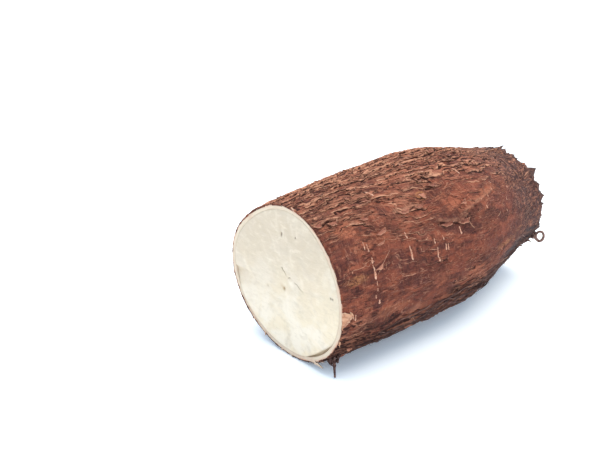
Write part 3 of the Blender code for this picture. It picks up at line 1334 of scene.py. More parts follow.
@dataclass(frozen=True)
class ScrapFinish:
    """Thin dried scraps and threads of bark, each with its own shade and paler at its edge."""

    name: str
    dark: Colour              # red, green and blue in 0 to 255 steps, like the next three
    middle: Colour
    light: Colour
    edge: Colour
    edge_share: float = 0.8
    roughness: Place = (0.70, 0.90)
    specular: float = 0.25

    def material(self) -> bpy.types.Material:
        """Mix the scraps' shades.

        Returns:
            The finished material.
        """
        shades = (self.dark, self.middle, self.light, self.edge)
        dark, middle, light, edge = (srgb(*shade) for shade in shades)
        sheet = NodeSheet(self.name, dark)
        tint = sheet.value_of("tint")
        sheet.lay(middle, sheet.spread(tint, 0.0, 0.5))
        sheet.lay(light, sheet.spread(tint, 0.5, 1.0))
        streak = sheet.noise((300.0, 1100.0, 1100.0), 3.0, 0.6, 0.4)
        sheet.tint(dark, streak, 0.50, 0.34, 0.8)
        sheet.tint(light, streak, 0.52, 0.68, 0.6)
        worn = sheet.product(sheet.spread(sheet.value_of("edge"), 0.72, 1.0), self.edge_share)
        sheet.lay(edge, worn)
        grit = sheet.noise((700.0, 2200.0, 2200.0), 4.0, 0.6)
        normal = sheet.bump(grit, 0.2 * MM, 0.7)
        return sheet.finished(normal, grit, (0.3, 0.7), self.roughness, self.specular)


@dataclass(frozen=True)
class FloorFinish:
    """The plain pale floor, a light table that glows a little."""

    name: str = "floor"
    colour: Colour = (0.95, 0.95, 0.96)
    glow: Colour = (0.74, 0.84, 1.0)
    glow_strength: float = 0.18

    def material(self) -> bpy.types.Material:
        """Make the floor's matt, faintly lit white.

        Returns:
            The finished material.
        """
        sheet = NodeSheet(self.name, self.colour)
        sheet.put(sheet.colour, sheet.shader.inputs["Base Color"])
        sheet.shader.inputs["Roughness"].default_value = 0.9
        sheet.shader.inputs["Specular IOR Level"].default_value = 0.1
        sheet.put(self.glow, sheet.shader.inputs["Emission Color"])
        sheet.shader.inputs["Emission Strength"].default_value = self.glow_strength
        return sheet.material


FLAKE_FINISH = ScrapFinish("flakes", (84, 46, 40), (130, 76, 60), (166, 108, 86), (198, 146, 118), 0.6)
CORK_FINISH = ScrapFinish("cork", (158, 104, 82), (192, 136, 110), (214, 166, 140), (222, 178, 152), 0.5)
STRAW_FINISH = ScrapFinish("straw", (126, 80, 62), (168, 116, 92), (200, 152, 124), (190, 142, 114), 0.4)
ROOTLET_FINISH = ScrapFinish("rootlet", (58, 36, 34), (96, 66, 58), (150, 116, 104), (110, 80, 72), 0.4)
PEEL_FINISH = ScrapFinish("peel", (148, 96, 72), (186, 136, 106), (208, 166, 136), (220, 184, 156), 0.6)
SHRED_FINISH = ScrapFinish("shreds", (54, 36, 33), (92, 60, 52), (134, 92, 76), (118, 84, 74), 0.5)


def settle(piece: Piece, slot: Slot, material: bpy.types.Material) -> None:
    """Give a finished piece its material and the body it rides on.

    Args:
        piece: The piece.
        slot: The record's slot that it takes its finish from; it is not used.
        material: Its material.
    """
    piece.data.materials.append(material)
    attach(piece, BODY)
    log.info("%s: %d faces", piece.name, len(piece.data.polygons))


# ---- the skin -----------------------------------------------------------------------------------

@dataclass
class Skin:
    """The bark-like skin, a sleeve that is open at both ends."""

    relief: BarkRelief
    rim_thickness: float = 0.9 * MM
    deep_thickness: float = 2.3 * MM
    inner_rings: int = 10
    ragged_reach: float = 2.6 * MM
    cut_wander: float = 0.25 * MM

    def __post_init__(self) -> None:
        """Shape the outer surface, with a ragged rim at the broken end."""
        form = self.relief.form
        self.points = self.relief.shape()
        last = self.points[-1]
        rough_edge = Noise(211).over(last, 3.2, 3, 0.6)
        tooth = Noise(223).over(last, 9.0, 2)
        near = 1.1 * bump(angle_gap(form.angles, 165.0), math.radians(48.0))
        reach = (np.clip(0.35 + 0.9 * rough_edge + 0.7 * tooth, -0.4, 1.0) + near) * self.ragged_reach
        for back in range(10):
            share = (1.0 - back / 10.0) ** 2
            self.points[-1 - back, :, 0] += reach * share
        wander = Noise(227).over(self.points[0], 4.0, 2) * self.cut_wander
        self.points[0, :, 0] += wander
        self.form = form

    def _inner_ring(self, share: float) -> Array:
        """A ring of the sleeve's inside."""
        form = self.form
        index = int(round(share * (form.rings - 1)))
        near_end = min(share, 1.0 - share)
        deep = ease(np.array(near_end), 0.0, 0.05)
        thickness = self.rim_thickness + (self.deep_thickness - self.rim_thickness) * float(deep)
        return form.points[index] - form.normals[index] * thickness

    def build(self) -> Piece:
        """Build the sleeve.

        Returns:
            The skin.
        """
        form = self.form
        relief = self.relief
        draft = MeshDraft()
        shape = form.reach.shape
        values = relief.values()
        # The sleeve's inside is painted darker with the groove shade, 0.4.
        tinted = ("crack", "plate_tint", "scale_tint")
        inner_values = {name: 0.4 if name in tinted else 0.0 for name in values}
        first = draft.add_points(self.points, **values)
        numbers = first + np.arange(form.rings * form.around).reshape(shape)
        rows = list(numbers)
        heights = list(0.02 + 0.86 * form.shares)
        sources = list(range(form.rings)) + [form.rings - 1]
        back_rim = form.points[-1] - form.normals[-1] * self.rim_thickness * 0.8
        back_rim[:, 0] = self.points[-1, :, 0] - 0.3 * MM
        inner_shares = np.linspace(1.0, 0.0, self.inner_rings)
        inner = [back_rim] + [self._inner_ring(float(share)) for share in inner_shares]
        sources += [int(round(share * (form.rings - 1))) for share in inner_shares] + [0]
        for index, ring in enumerate(inner):
            start = draft.add_points(ring, **inner_values)
            rows.append(start + np.arange(form.around))
            heights.append(0.885 + 0.1 * (index + 1) / len(inner))
        rows.append(rows[0])
        heights.append(1.0)
        turns = np.arange(form.around + 1) / form.around
        runs = form.shares * relief.form.length / MM
        bake = [joined(turns, height) for height in heights]
        wide = [joined(runs[at], relief.wide.rows[at]) for at in sources]
        fine = [joined(runs[at], relief.fine.rows[at]) for at in sources]
        for index in range(len(rows) - 1):
            pair = slice(index, index + 2)
            draft.bridge(*rows[pair], OFBake=bake[pair], wide_strips=wide[pair], fine_strips=fine[pair])
        return draft.build("root_skin")


# ---- flesh and rind -----------------------------------------------------------------------------

@dataclass(frozen=True)
class Spot:
    """A small mark on the clean cut face, at a place across (y) and up (z) from its middle.

    Its place, radius and depth are in millimetres.
    """

    across: float
    up: float
    radius: float
    depth: float
    dark: float
    stain: float


@dataclass
class Flesh:
    """The white flesh: one core with a detailed face at either end."""

    form: RootForm
    spokes: int = 480
    skin_inset: float = 0.6 * MM
    rind_width: float = 1.9 * MM
    core_inset: float = 3.7 * MM
    tail_rind_width: float = 1.7 * MM
    tail_recess: float = 1.4   # millimetres
    gap_width: float = 1.3 * MM
    gap_centre: float = 234.0
    gap_span: float = 19.0
    spots: tuple[Spot, ...] = (
        Spot(1.4, -3.4, 0.60, 0.5, 0.16, 0.85),
        Spot(2.6, -2.6, 0.55, 0.2, 0.0, 0.30),
        Spot(1.0, 23.8, 0.40, 0.4, 1.0, 0.3),
        Spot(1.1, 22.9, 0.38, 0.3, 1.0, 0.2),
        Spot(-8.0, 24.8, 0.34, 0.2, 1.0, 0.2),
        Spot(-28.3, 3.5, 0.40, 0.3, 1.0, 0.3),
        Spot(-29.4, 3.5, 0.36, 0.2, 1.0, 0.2),
        Spot(12.6, -6.3, 0.40, 0.15, 0.16, 0.25),
    )
    cracks: tuple[tuple[Place, ...], ...] = (
        ((2.4, 7.4), (1.4, 5.9), (0.0, 4.5), (-1.6, 2.8)),
        ((-1.5, 2.9), (-2.9, 3.7), (-4.2, 3.8)),
        ((-5.1, 2.6), (-7.3, 1.4), (-9.6, 0.0), (-12.6, -1.5)),
    )
    crack_width: float = 0.20  # millimetres

    def __post_init__(self) -> None:
        """Pick the form's rings that the ends follow."""
        step = np.arange(self.spokes) * self.form.around / self.spokes
        self.picks = np.round(step).astype(int) % self.form.around
        self.angles = self.form.angles[self.picks]

    def outline(self, ring: int, inset: Array | float) -> Array:
        """A ring of the form, drawn in towards its middle.

        Args:
            ring: The form's ring, 0 at the clean cut and -1 at the broken end.
            inset: How far it is drawn in.

        Returns:
            One point for each spoke.
        """
        points = self.form.points[ring][self.picks]
        middle = points.mean(axis=0)
        away = points - middle
        reach = np.linalg.norm(away, axis=1, keepdims=True)
        inset = np.broadcast_to(inset, (self.spokes,))[:, None]
        return middle + away * (1.0 - inset / reach)

    def gap(self) -> Array:
        """How open the split between flesh and rind is around the clean cut, 0 to 1."""
        turn = angle_gap(self.angles, self.gap_centre) / math.radians(self.gap_span)
        return np.clip(1.0 - turn ** 2, 0.0, 1.0)

    def _face(self, edge: Array, shares: Array) -> Array:
        """Spread a face's points from its middle to its edge."""
        middle = edge.mean(axis=0)
        return middle + (edge - middle)[None, :, :] * shares[:, None, None]

    def _clean_face(self) -> tuple[Array, dict[str, Array]]:
        """The clean cut face's points and marks, from its middle outwards."""
        split = self.gap() * self.gap_width
        edge = self.outline(0, self.skin_inset + self.rind_width + split)
        fine = np.arange(1, 71) * 0.21 / 37.0
        wide = np.linspace(fine[-1], 1.0, 59)[1:]
        shares = np.concatenate([fine, wide])
        points = self._face(edge, shares)
        middle = self.outline(0, 0.0).mean(axis=0)
        y = (points[..., 1] - middle[1]) / MM
        z = (points[..., 2] - middle[2]) / MM
        wave = Noise(301).over(points, (1000.0, 14.0, 5.0), 2)
        ripple = Noise(307).over(points, (1000.0, 2.6, 1.1), 2)
        height = 0.20 * wave + 0.05 * ripple
        dark = np.zeros(y.shape)
        stain = np.zeros(y.shape)
        fuzz = Noise(313).over(points, 0.7, 2) * 0.16
        for spot in self.spots:
            hill = bump(np.hypot(y - spot.across + fuzz, (z - spot.up) * 0.8 - fuzz), spot.radius)
            height = height - spot.depth * hill
            dark = np.maximum(dark, spot.dark * hill)
            halo = bump(np.hypot(y - spot.across, z - spot.up), 1.7 * spot.radius)
            stain = np.maximum(stain, spot.stain * halo)
        jitter = Noise(311).over(points, 1.6, 2) * 0.45
        for number, path in enumerate(self.cracks):
            gap, where = line_gap(y + jitter, z - jitter, list(path))
            fade = ease(where, 0.0, 0.15) * ease(1.0 - where, 0.0, 0.5)
            line = bump(gap, self.crack_width) * fade
            height = height - 0.35 * line
            dark = np.maximum(dark, (0.50, 0.32, 0.28)[number] * line)
            stain = np.maximum(stain, 0.14 * bump(gap, 2.5 * self.crack_width) * fade)
        # knob: a small real bump, whose white mark is a painted highlight.
        knob = bump(np.hypot(y + 3.5, z - 1.1), 1.5)
        height = height + 0.45 * knob
        slope = z + 4.6 - 0.10 * (36.0 - y) + 0.5 * wave
        below = ease(-slope, -0.5, 0.8) * ease(slope, -13.0, -1.0)
        dent = below * ease(y, 15.0, 34.0)
        height = height - 0.9 * dent
        # Painted shade: the dent's stain darkens the face below the dip's sharp upper edge.
        stain = np.maximum(stain, 0.24 * dent)
        edge_share = shares[:, None]
        broken = ease(Noise(317).over(points, 5.0, 2), -0.3, 0.3)
        rim = ease(edge_share, 0.975, 1.0)
        dark = np.maximum(dark, 0.07 * rim * broken)
        stain = np.maximum(stain, 0.08 * rim * (1.0 - broken))
        stain = np.maximum(stain, 0.5 * self.gap()[None, :] * ease(edge_share, 0.975, 1.0))
        height = height - 0.06 * rim
        turn = np.arctan2(z + 3.4, y - 1.4)
        radius = np.hypot(y - 1.4, z + 3.4)
        ray_places = joined(np.cos(turn) * 9.0, np.sin(turn) * 9.0, radius / 13.0).reshape(-1, 3)
        ray = Noise(331).layered(ray_places, 3, 0.6).reshape(y.shape) * ease(radius, 1.0, 8.0)
        normal = np.array(self.form.clean_plane[1])
        points = points + normal * (height * MM)[..., None]
        # upper: painted shade, the cut face darker towards its top.
        upper = ease(z + 0.25 * y, -26.0, 24.0)
        stain = np.clip(stain, 0.0, 1.0)
        return points, {"dark": dark, "stain": stain, "upper": upper, "ray": ray, "white": knob}

    def _broken_face(self) -> tuple[Array, dict[str, Array]]:
        """The broken end's points and marks, from its middle outwards."""
        edge = self.outline(-1, self.skin_inset + self.tail_rind_width)
        shares = np.linspace(0.0, 1.0, 73)[1:]
        points = self._face(edge, shares)
        middle = edge.mean(axis=0)
        y = (points[..., 1] - middle[1]) / MM
        z = (points[..., 2] - middle[2]) / MM
        coarse = Noise(401).over(points, (1000.0, 11.0, 8.0), 4, 0.55)
        steps = Noise(409).cells(points.reshape(-1, 3) / np.array([1000.0, 7.0, 5.5]) / MM)
        step = (steps.chance - 0.5).reshape(y.shape)
        radius = np.hypot(y, z)
        turn = np.arctan2(z, y)
        ray_places = joined(np.cos(turn) * 6.0, np.sin(turn) * 6.0, radius / 14.0).reshape(-1, 3)
        ray = Noise(419).layered(ray_places, 3).reshape(y.shape)
        rays = bump(ray, 0.06) * ease(radius, 3.0, 9.0)
        height = 0.9 * coarse + 0.7 * step + 0.35 * ray - 0.15 * rays
        height = height * (1.0 - 0.6 * ease(shares[:, None], 0.85, 1.0)) - self.tail_recess
        pith = bump(np.hypot(y - 1.5, z + 1.0), 1.0)
        height = height - 0.8 * pith
        stain = np.clip(0.12 + 0.35 * ease(coarse, 0.0, 0.5) + 0.12 * rays + 0.8 * pith, 0.0, 0.85) * 0.7
        stain = np.maximum(stain, 0.4 * ease(shares[:, None], 0.93, 1.0) + 0.0 * y)
        dark = 0.55 * pith + 0.03 * rays
        normal = np.array(self.form.broken_plane[1])
        points = points + normal * (height * MM)[..., None]
        still = 0.0 * z
        return points, {"dark": dark, "stain": stain, "upper": 0.5 + still, "ray": ray, "white": still}

    def build(self) -> Piece:
        """Build the core with both faces.

        Returns:
            The flesh.
        """
        draft = MeshDraft()
        order = np.arange(self.spokes)
        clean, clean_marks = self._clean_face()
        broken, broken_marks = self._broken_face()

        middle_mark = {name: marks[:1, :1] for name, marks in clean_marks.items()}
        centre = draft.add_points(clean[:1].mean(axis=1, keepdims=True), **middle_mark)
        start = draft.add_points(clean, **clean_marks)
        rows = [start + order + self.spokes * k for k in range(len(clean))]

        side = []
        side.append(self.outline(1, self.skin_inset + self.rind_width + self.gap() * self.gap_width))
        side.append(self.outline(1, self.skin_inset + self.rind_width - 0.3 * MM))
        for share, inset in ((0.025, 0.3), (0.07, 1.0), (0.5, 1.0), (0.93, 1.0), (0.975, 0.4)):
            ring = int(round(share * (self.form.rings - 1)))
            deep = self.outline(ring, self.core_inset)
            near = self.outline(ring, self.skin_inset + self.rind_width)
            side.append(near * (1.0 - inset) + deep * inset)
        for points in side:
            first = draft.add_points(points, dark=0.0, stain=0.5, upper=0.5, ray=0.0, white=0.0)
            rows.append(first + order)
        inward = {name: marks[::-1] for name, marks in broken_marks.items()}
        first = draft.add_points(broken[::-1], **inward)
        rows += [first + order + self.spokes * k for k in range(len(broken))]
        tail_mark = {name: marks[:1, :1] for name, marks in broken_marks.items()}
        tail = draft.add_points(broken[:1].mean(axis=1, keepdims=True), **tail_mark)

        draft.fan(centre, np.roll(rows[0], -1), rows[0])
        for low, high in zip(rows, rows[1:]):
            draft.bridge(low, high)
        draft.fan(tail, rows[-1], np.roll(rows[-1], -1))
        return draft.build("flesh")


@dataclass(frozen=True)
class Tip:
    """A torn point that stands out from the clean cut's edge."""

    degrees: float
    lean: float               # degrees between straight out and the way it points
    length: float             # millimetres
    width: float
    rooted: float             # millimetres that it starts inside the edge
    curl: float               # millimetres that its end stands off the cut's plane
    blush: float
    stain: float


@dataclass
class Rind:
    """The pale ring between flesh and skin at each end, with the torn points beside it."""

    flesh: Flesh
    tips: tuple[Tip, ...] = (
        Tip(248.0, 62.0, 8.0, 2.6, 1.4, 0.3, 0.15, 0.25), Tip(243.0, 75.0, 5.0, 1.6, 0.9, -0.6, 0.5, 0.3),
        Tip(270.0, 40.0, 3.4, 1.6, 1.0, 0.4, 0.1, 0.2), Tip(278.0, -30.0, 2.0, 1.2, 0.8, 0.3, 0.3, 0.3),
        Tip(190.0, -70.0, 2.6, 0.9, 1.2, 0.5, 0.0, 0.9), Tip(298.0, 35.0, 2.2, 1.2, 0.9, 0.2, 0.6, 0.5),
        Tip(309.0, -40.0, 2.0, 1.0, 0.9, 0.2, 0.7, 0.5), Tip(103.0, 60.0, 2.6, 1.0, 1.0, 0.3, 0.8, 0.2),
    )

    def _section(self, ring: int, width: float, plane: tuple[Vector, Vector], sign: float,
                 name: str) -> Piece:
        """Build a closed ring that shows at one end.

        Args:
            ring: The form's ring at the end.
            width: The ring's width.
            plane: The end's plane.
            sign: 1 where the body runs towards +X from the end, -1 at the other end.
            name: The piece's name.

        Returns:
            The ring.
        """
        flesh = self.flesh
        form = flesh.form
        normal = np.array(plane[1])
        order = np.arange(flesh.spokes)
        outer_inset = flesh.skin_inset - 0.15 * MM
        inner_inset = flesh.skin_inset + width + 0.02 * MM
        deep_ring = int(round(0.06 * (form.rings - 1)))
        rows = []
        draft = MeshDraft()
        for share in np.linspace(0.0, 1.0, 7):
            points = flesh.outline(ring, inner_inset + (outer_inset - inner_inset) * share)
            crown = 0.12 * MM * math.sin(math.pi * share)
            rough = Noise(503).over(points, 2.4, 3) * 0.24 * MM
            points = points + normal * (crown - 0.08 * MM + rough)[:, None]
            blush = ease(np.array(share), 0.52, 0.95)
            blush = np.clip(blush * (0.60 + 1.1 * Noise(509).over(points, 8.0, 2)), 0.0, 1.0)
            split = bump(angle_gap(flesh.angles, 313.0), math.radians(19.0))
            split = split * bump(np.array(share - 0.5), 0.15)
            split = split * (0.75 + 0.9 * Noise(521).over(points, 1.5, 2))
            split = split + 0.16 * (1.0 - ease(np.array(share), 0.0, 0.3))
            first = draft.add_points(points, blush=blush, stain=np.clip(split, 0.0, 1.0))
            rows.append(first + order)
        last = len(form.points) - 1
        for inset, share in ((outer_inset + 0.1 * MM, 0.4), (flesh.core_inset - 1.1 * MM, 1.0),
                             (flesh.core_inset - 0.2 * MM, 1.0), (inner_inset + 0.05 * MM, 0.4)):
            step = int(round(share * deep_ring))
            index = step if sign > 0 else last - step
            points = flesh.outline(index, inset)
            first = draft.add_points(points, blush=0.3, stain=0.4)
            rows.append(first + order)
        rows.append(rows[0])
        for low, high in zip(rows, rows[1:]):
            pair = (low, high) if sign > 0 else (high, low)
            draft.bridge(*pair)
        return draft.build(name)

    def build(self) -> list[Piece]:
        """Build the rings of both ends.

        Returns:
            The clean end's ring, then the broken end's.
        """
        flesh = self.flesh
        form = flesh.form
        clean = self._section(0, flesh.rind_width, form.clean_plane, 1.0, "rind_clean_end")
        broken = self._section(-1, flesh.tail_rind_width, form.broken_plane, -1.0, "rind_broken_end")
        return [clean, broken, self._torn_tips()]

    def _torn_tips(self) -> Piece:
        """Build the torn points of rind and skin that stand out at the clean cut's lower edge.

        Returns:
            The tips.
        """
        flesh = self.flesh
        outline = flesh.outline(0, 0.0)
        middle = outline.mean(axis=0)
        normal = np.array(flesh.form.clean_plane[1])
        draft = MeshDraft()
        steps = np.linspace(0.0, 1.0, 12)[:, None]
        across = np.linspace(-0.5, 0.5, 5)[None, :]
        step = steps[:, 0]
        for number, tip in enumerate(self.tips):
            at = np.argmin(np.abs(angle_gap(flesh.angles, tip.degrees)))
            root = outline[at]
            out = (root - middle) / np.linalg.norm(root - middle)
            along = np.cross(normal, out)
            lean = math.radians(tip.lean)
            way = out * math.cos(lean) + along * math.sin(lean)
            side = np.cross(way, normal)
            fray = Noise(541).layered(joined(step * 5.0 + number * 3.1, step, step), 2)
            width = tip.width * (1.0 - steps ** 1.3) * (1.0 + 0.5 * fray[:, None]) + 0.12
            grid = root - out * tip.rooted * MM + normal * 0.12 * MM
            grid = grid + way * (steps * tip.length * MM)[..., None]
            grid = grid + side * (width * across * MM)[..., None]
            grid = grid + normal * (tip.curl * steps ** 2 * MM - 0.3 * MM * (2.0 * across) ** 2)[..., None]
            grid[..., 2] = np.maximum(grid[..., 2], 0.4 * MM)
            outs = np.broadcast_to(normal, grid.shape)
            draft.sheet(grid, outs, 0.3 * MM, blush=tip.blush, stain=tip.stain * steps ** 2)
        return draft.build("rind_tips")


# ---- flakes, marks and strands on the skin ------------------------------------------------------

@dataclass(frozen=True)
class Flake:
    """One thin lifted scrap of bark: it is held along one side and free along the other."""

    share: float
    degrees: float
    length: float             # millimetres along its held side
    width: float              # millimetres from its held side to its free side
    lift: float               # millimetres that its free side stands off the skin
    slant: float = 0.0        # how far its free side is pushed along, in widths
    facing: float = 1.0       # 1 when its free side points down the near side, -1 the other way
    turn: float = 0.0         # degrees between its held side and the root's length
    taper: float = 0.35       # how much narrower its free side is
    tint: float = 0.5


@dataclass
class Dressing:
    """Many small things of one kind that lie on the skin: chosen ones, then scattered ones."""

    sheet: SkinSheet
    name: str
    chosen: tuple[object, ...]

    def _scattered(self) -> list[object]:
        """The things at random places, none unless a kind has some."""
        return []

    def _add(self, draft: MeshDraft, thing: object, number: int) -> None:
        """Add one thing to the draft."""
        raise NotImplementedError

    def build(self) -> Piece:
        """Build all of them as one piece.

        Returns:
            The piece.
        """
        draft = MeshDraft()
        for number, thing in enumerate([*self.chosen, *self._scattered()]):
            self._add(draft, thing, number)
        return draft.build(self.name)


@dataclass
class BarkFlakes(Dressing):
    """Scraps of bark that curl away from the skin."""

    name: str = "bark_flakes"
    columns: int = 15
    rows: int = 7
    thickness: float = 0.13 * MM
    sunk: float = 0.12 * MM
    seed: int = 911
    chosen: tuple[Flake, ...] = (
        Flake(0.015, 119.5, 5.0, 2.0, 0.9, 0.2, tint=0.6),
        Flake(0.065, 121.5, 7.0, 2.2, 1.0, -0.2, tint=0.7),
        Flake(0.30, 131.5, 8.0, 1.8, 0.7, 0.3, tint=0.8),
        Flake(0.36, 132.0, 6.5, 1.5, 0.8, 0.0, tint=0.45),
        Flake(0.43, 149.0, 10.0, 1.7, 0.6, 0.2, tint=0.45),
        Flake(0.50, 151.0, 10.0, 1.9, 0.7, -0.2, tint=0.5),
        Flake(0.46, 121.5, 6.0, 1.6, 0.9, 0.1, tint=0.35),
        Flake(0.40, 125.0, 4.5, 2.6, 0.5, 0.1, tint=0.95),
        Flake(0.53, 90.0, 12.0, 2.0, 0.9, 0.2, tint=0.75),
        Flake(0.63, 89.0, 10.0, 1.8, 0.8, 0.0, tint=0.6),
        Flake(0.62, 104.0, 9.0, 1.6, 0.8, 0.2, tint=0.5),
        Flake(0.47, 111.0, 7.0, 1.6, 0.8, 0.1, tint=0.7),
        Flake(0.21, 117.0, 6.0, 1.6, 0.8, -0.1, tint=0.4),
        Flake(0.16, 127.0, 6.5, 1.5, 0.7, 0.1, tint=0.6),
    )
    groups: tuple[tuple[int, float, float, float, float], ...] = (
        (46, 0.03, 0.72, 88.0, 24.0),
        (16, 0.45, 0.93, 100.0, 26.0),
        (12, 0.02, 0.90, 228.0, 12.0),
        (34, 0.05, 0.93, 35.0, 30.0),
        (22, 0.05, 0.93, 345.0, 25.0),
        (4, 0.10, 0.90, 150.0, 20.0),
    )

    def _scattered(self) -> list[Flake]:
        """Flakes at random places, each group around one side of the root."""
        dice = np.random.default_rng(self.seed)
        roll = dice.uniform
        flakes = []
        for count, first, last, middle, spread in self.groups:
            for _ in range(count):
                degrees = dice.normal(middle, spread * 0.6)
                facing = 1.0 if 60.0 < degrees < 260.0 else -1.0
                flakes.append(Flake(
                    share=roll(first, last), degrees=degrees,
                    length=roll(2.2, 7.0), width=roll(0.8, 1.9),
                    lift=roll(0.25, 0.85), slant=roll(-0.5, 0.5),
                    facing=facing, turn=dice.normal(0.0, 9.0), taper=roll(0.15, 0.7),
                    tint=roll(0.0, 1.0),
                ))
        return flakes

    def _add(self, draft: MeshDraft, flake: Flake, number: int) -> None:
        """Add one flake's sheet to the draft."""
        along = np.linspace(-1.0, 1.0, self.columns)
        out = np.linspace(0.0, 1.0, self.rows)
        fray_places = joined(along * 2.3 + number * 5.1, number, 0.0)
        fray = Noise(self.seed).layered(fray_places, 3, 0.7)
        reach = (1.0 + 0.45 * fray) * np.clip(1.15 - np.abs(along) ** 4, 0.1, 1.0)
        narrow = 1.0 - flake.taper * out ** 1.5
        run = along[None, :] * narrow[:, None] * flake.length / 2.0
        run = run + flake.slant * flake.width * out[:, None]
        drop = out[:, None] * reach[None, :] * flake.width * flake.facing
        tilt = math.radians(flake.turn)
        shares = flake.share + self.sheet.per_length(1.0) * (run * math.cos(tilt) - drop * math.sin(tilt))
        degrees = flake.degrees + self.sheet.per_turn(1.0) * (drop * math.cos(tilt) + run * math.sin(tilt))
        points, outs = self.sheet.spots(shares, degrees)
        curl = Noise(self.seed + 5).at(fray_places * 0.6)
        lift = flake.lift * (1.0 + 0.6 * curl)[None, :] * out[:, None] ** 1.6 * MM
        grid = points + outs * (lift + self.thickness - self.sunk * (1.0 - out[:, None]))[..., None]
        grid[..., 2] = np.maximum(grid[..., 2], self.thickness + FLOOR_GAP)
        edge = np.broadcast_to(np.maximum(out[:, None], np.abs(along)[None, :] ** 6), shares.shape)
        if flake.facing > 0:
            grid, outs, edge = grid[:, ::-1], outs[:, ::-1], edge[:, ::-1]
        draft.sheet(grid, outs, self.thickness, edge=edge, tint=flake.tint)


@dataclass(frozen=True)
class Mark:
    """One pale corky lenticel that lies across the grain."""

    share: float
    degrees: float
    length: float             # millimetres
    width: float
    lean: float = 0.0         # degrees off straight across


@dataclass
class Lenticels(Dressing):
    """Pale raised marks across the bark."""

    name: str = "lenticels"
    columns: int = 13
    rows: int = 5
    height: float = 0.32 * MM
    seed: int = 929
    scattered: int = 40
    chosen: tuple[Mark, ...] = (
        Mark(0.118, 143.5, 3.4, 0.55, -8.0), Mark(0.127, 145.5, 3.4, 0.60, -3.0),
        Mark(0.127, 154.0, 2.6, 0.90, -10.0), Mark(0.125, 158.0, 1.8, 0.60, 4.0),
        Mark(0.125, 163.0, 4.8, 1.35, -6.0), Mark(0.126, 169.5, 1.8, 0.60, -6.0),
        Mark(0.125, 174.0, 1.4, 0.50), Mark(0.129, 183.0, 2.0, 1.30), Mark(0.117, 178.5, 1.6, 0.60),
        Mark(0.267, 147.0, 2.8, 1.05, 10.0), Mark(0.266, 159.0, 6.4, 1.20, 0.0),
        Mark(0.363, 157.5, 2.4, 0.60, -8.0), Mark(0.366, 165.5, 4.8, 0.75, -6.0),
        Mark(0.369, 170.5, 1.8, 1.25, -6.0), Mark(0.399, 157.5, 2.2, 0.50, 6.0),
        Mark(0.402, 164.0, 3.0, 0.85, -6.0), Mark(0.411, 164.5, 2.8, 0.85, -6.0),
        Mark(0.472, 157.0, 3.6, 1.00, 0.0), Mark(0.045, 189.0, 3.2, 0.75, -3.0),
        Mark(0.242, 113.0, 4.0, 1.00, 36.0), Mark(0.597, 117.0, 4.4, 0.85, 34.0),
        Mark(0.458, 94.0, 3.0, 0.80, 40.0), Mark(0.472, 109.0, 2.4, 0.70, 30.0),
        Mark(0.689, 138.0, 1.5, 0.9), Mark(0.651, 142.0, 1.2, 0.8), Mark(0.619, 149.0, 1.3, 0.9),
        Mark(0.71, 133.0, 1.3, 0.7), Mark(0.76, 150.0, 1.2, 0.7), Mark(0.80, 141.0, 1.0, 0.8),
        Mark(0.735, 158.0, 1.4, 0.6),
    )

    def _scattered(self) -> list[Mark]:
        """Marks at random places, some of them in short rows around the root."""
        dice = np.random.default_rng(self.seed)
        roll = dice.uniform
        marks = []
        for _ in range(self.scattered):
            share = roll(0.05, 0.92)
            degrees = roll(-95.0, 75.0)
            for step in range(int(dice.integers(1, 4))):
                marks.append(Mark(
                    share + dice.normal(0.0, 0.004), degrees + step * roll(6.0, 11.0),
                    roll(1.2, 4.2), roll(0.4, 0.8), dice.normal(0.0, 12.0),
                ))
        return marks

    def _add(self, draft: MeshDraft, mark: Mark, number: int) -> None:
        """Add one mark as a low rough ridge."""
        along = np.linspace(-1.0, 1.0, self.columns)[:, None]
        across = np.linspace(-1.0, 1.0, self.rows)[None, :]
        places = joined(along[:, 0] * 2.0 + number * 3.7, number, 0.0)
        wobble = Noise(self.seed).layered(places, 3, 0.7)[:, None]
        body = np.sqrt(np.clip(1.0 - along ** 2, 0.0, 1.0)) * (0.5 + 0.5 * np.abs(along + 0.3)) + 0.04
        drop = along * mark.length / 2.0
        run = across * mark.width / 2.0 * body * (1.0 + 0.9 * wobble) + 0.45 * wobble * mark.width
        lean = math.radians(mark.lean)
        shares = mark.share + self.sheet.per_length(1.0) * (run * math.cos(lean) + drop * math.sin(lean))
        degrees = mark.degrees + self.sheet.per_turn(1.0) * (drop * math.cos(lean) - run * math.sin(lean))
        points, outs = self.sheet.spots(shares, degrees)
        dome = np.sqrt(np.clip(1.0 - across ** 2, 0.0, 1.0)) * body * (1.0 + 0.5 * wobble)
        grid = points + outs * (self.height * dome + 0.02 * MM)[..., None]
        shade = np.clip(0.5 + 0.9 * wobble + 0.35 * along, 0.0, 1.0)
        draft.sheet(grid, outs, 0.22 * MM, edge=0.6 + 0.4 * np.abs(along), tint=shade)


@dataclass(frozen=True)
class Strand:
    """One loose thread that lies on the skin: it runs through shares and angles."""

    places: tuple[Place, ...]
    thickness: float          # millimetres
    lift: float               # millimetres off the skin at its middle


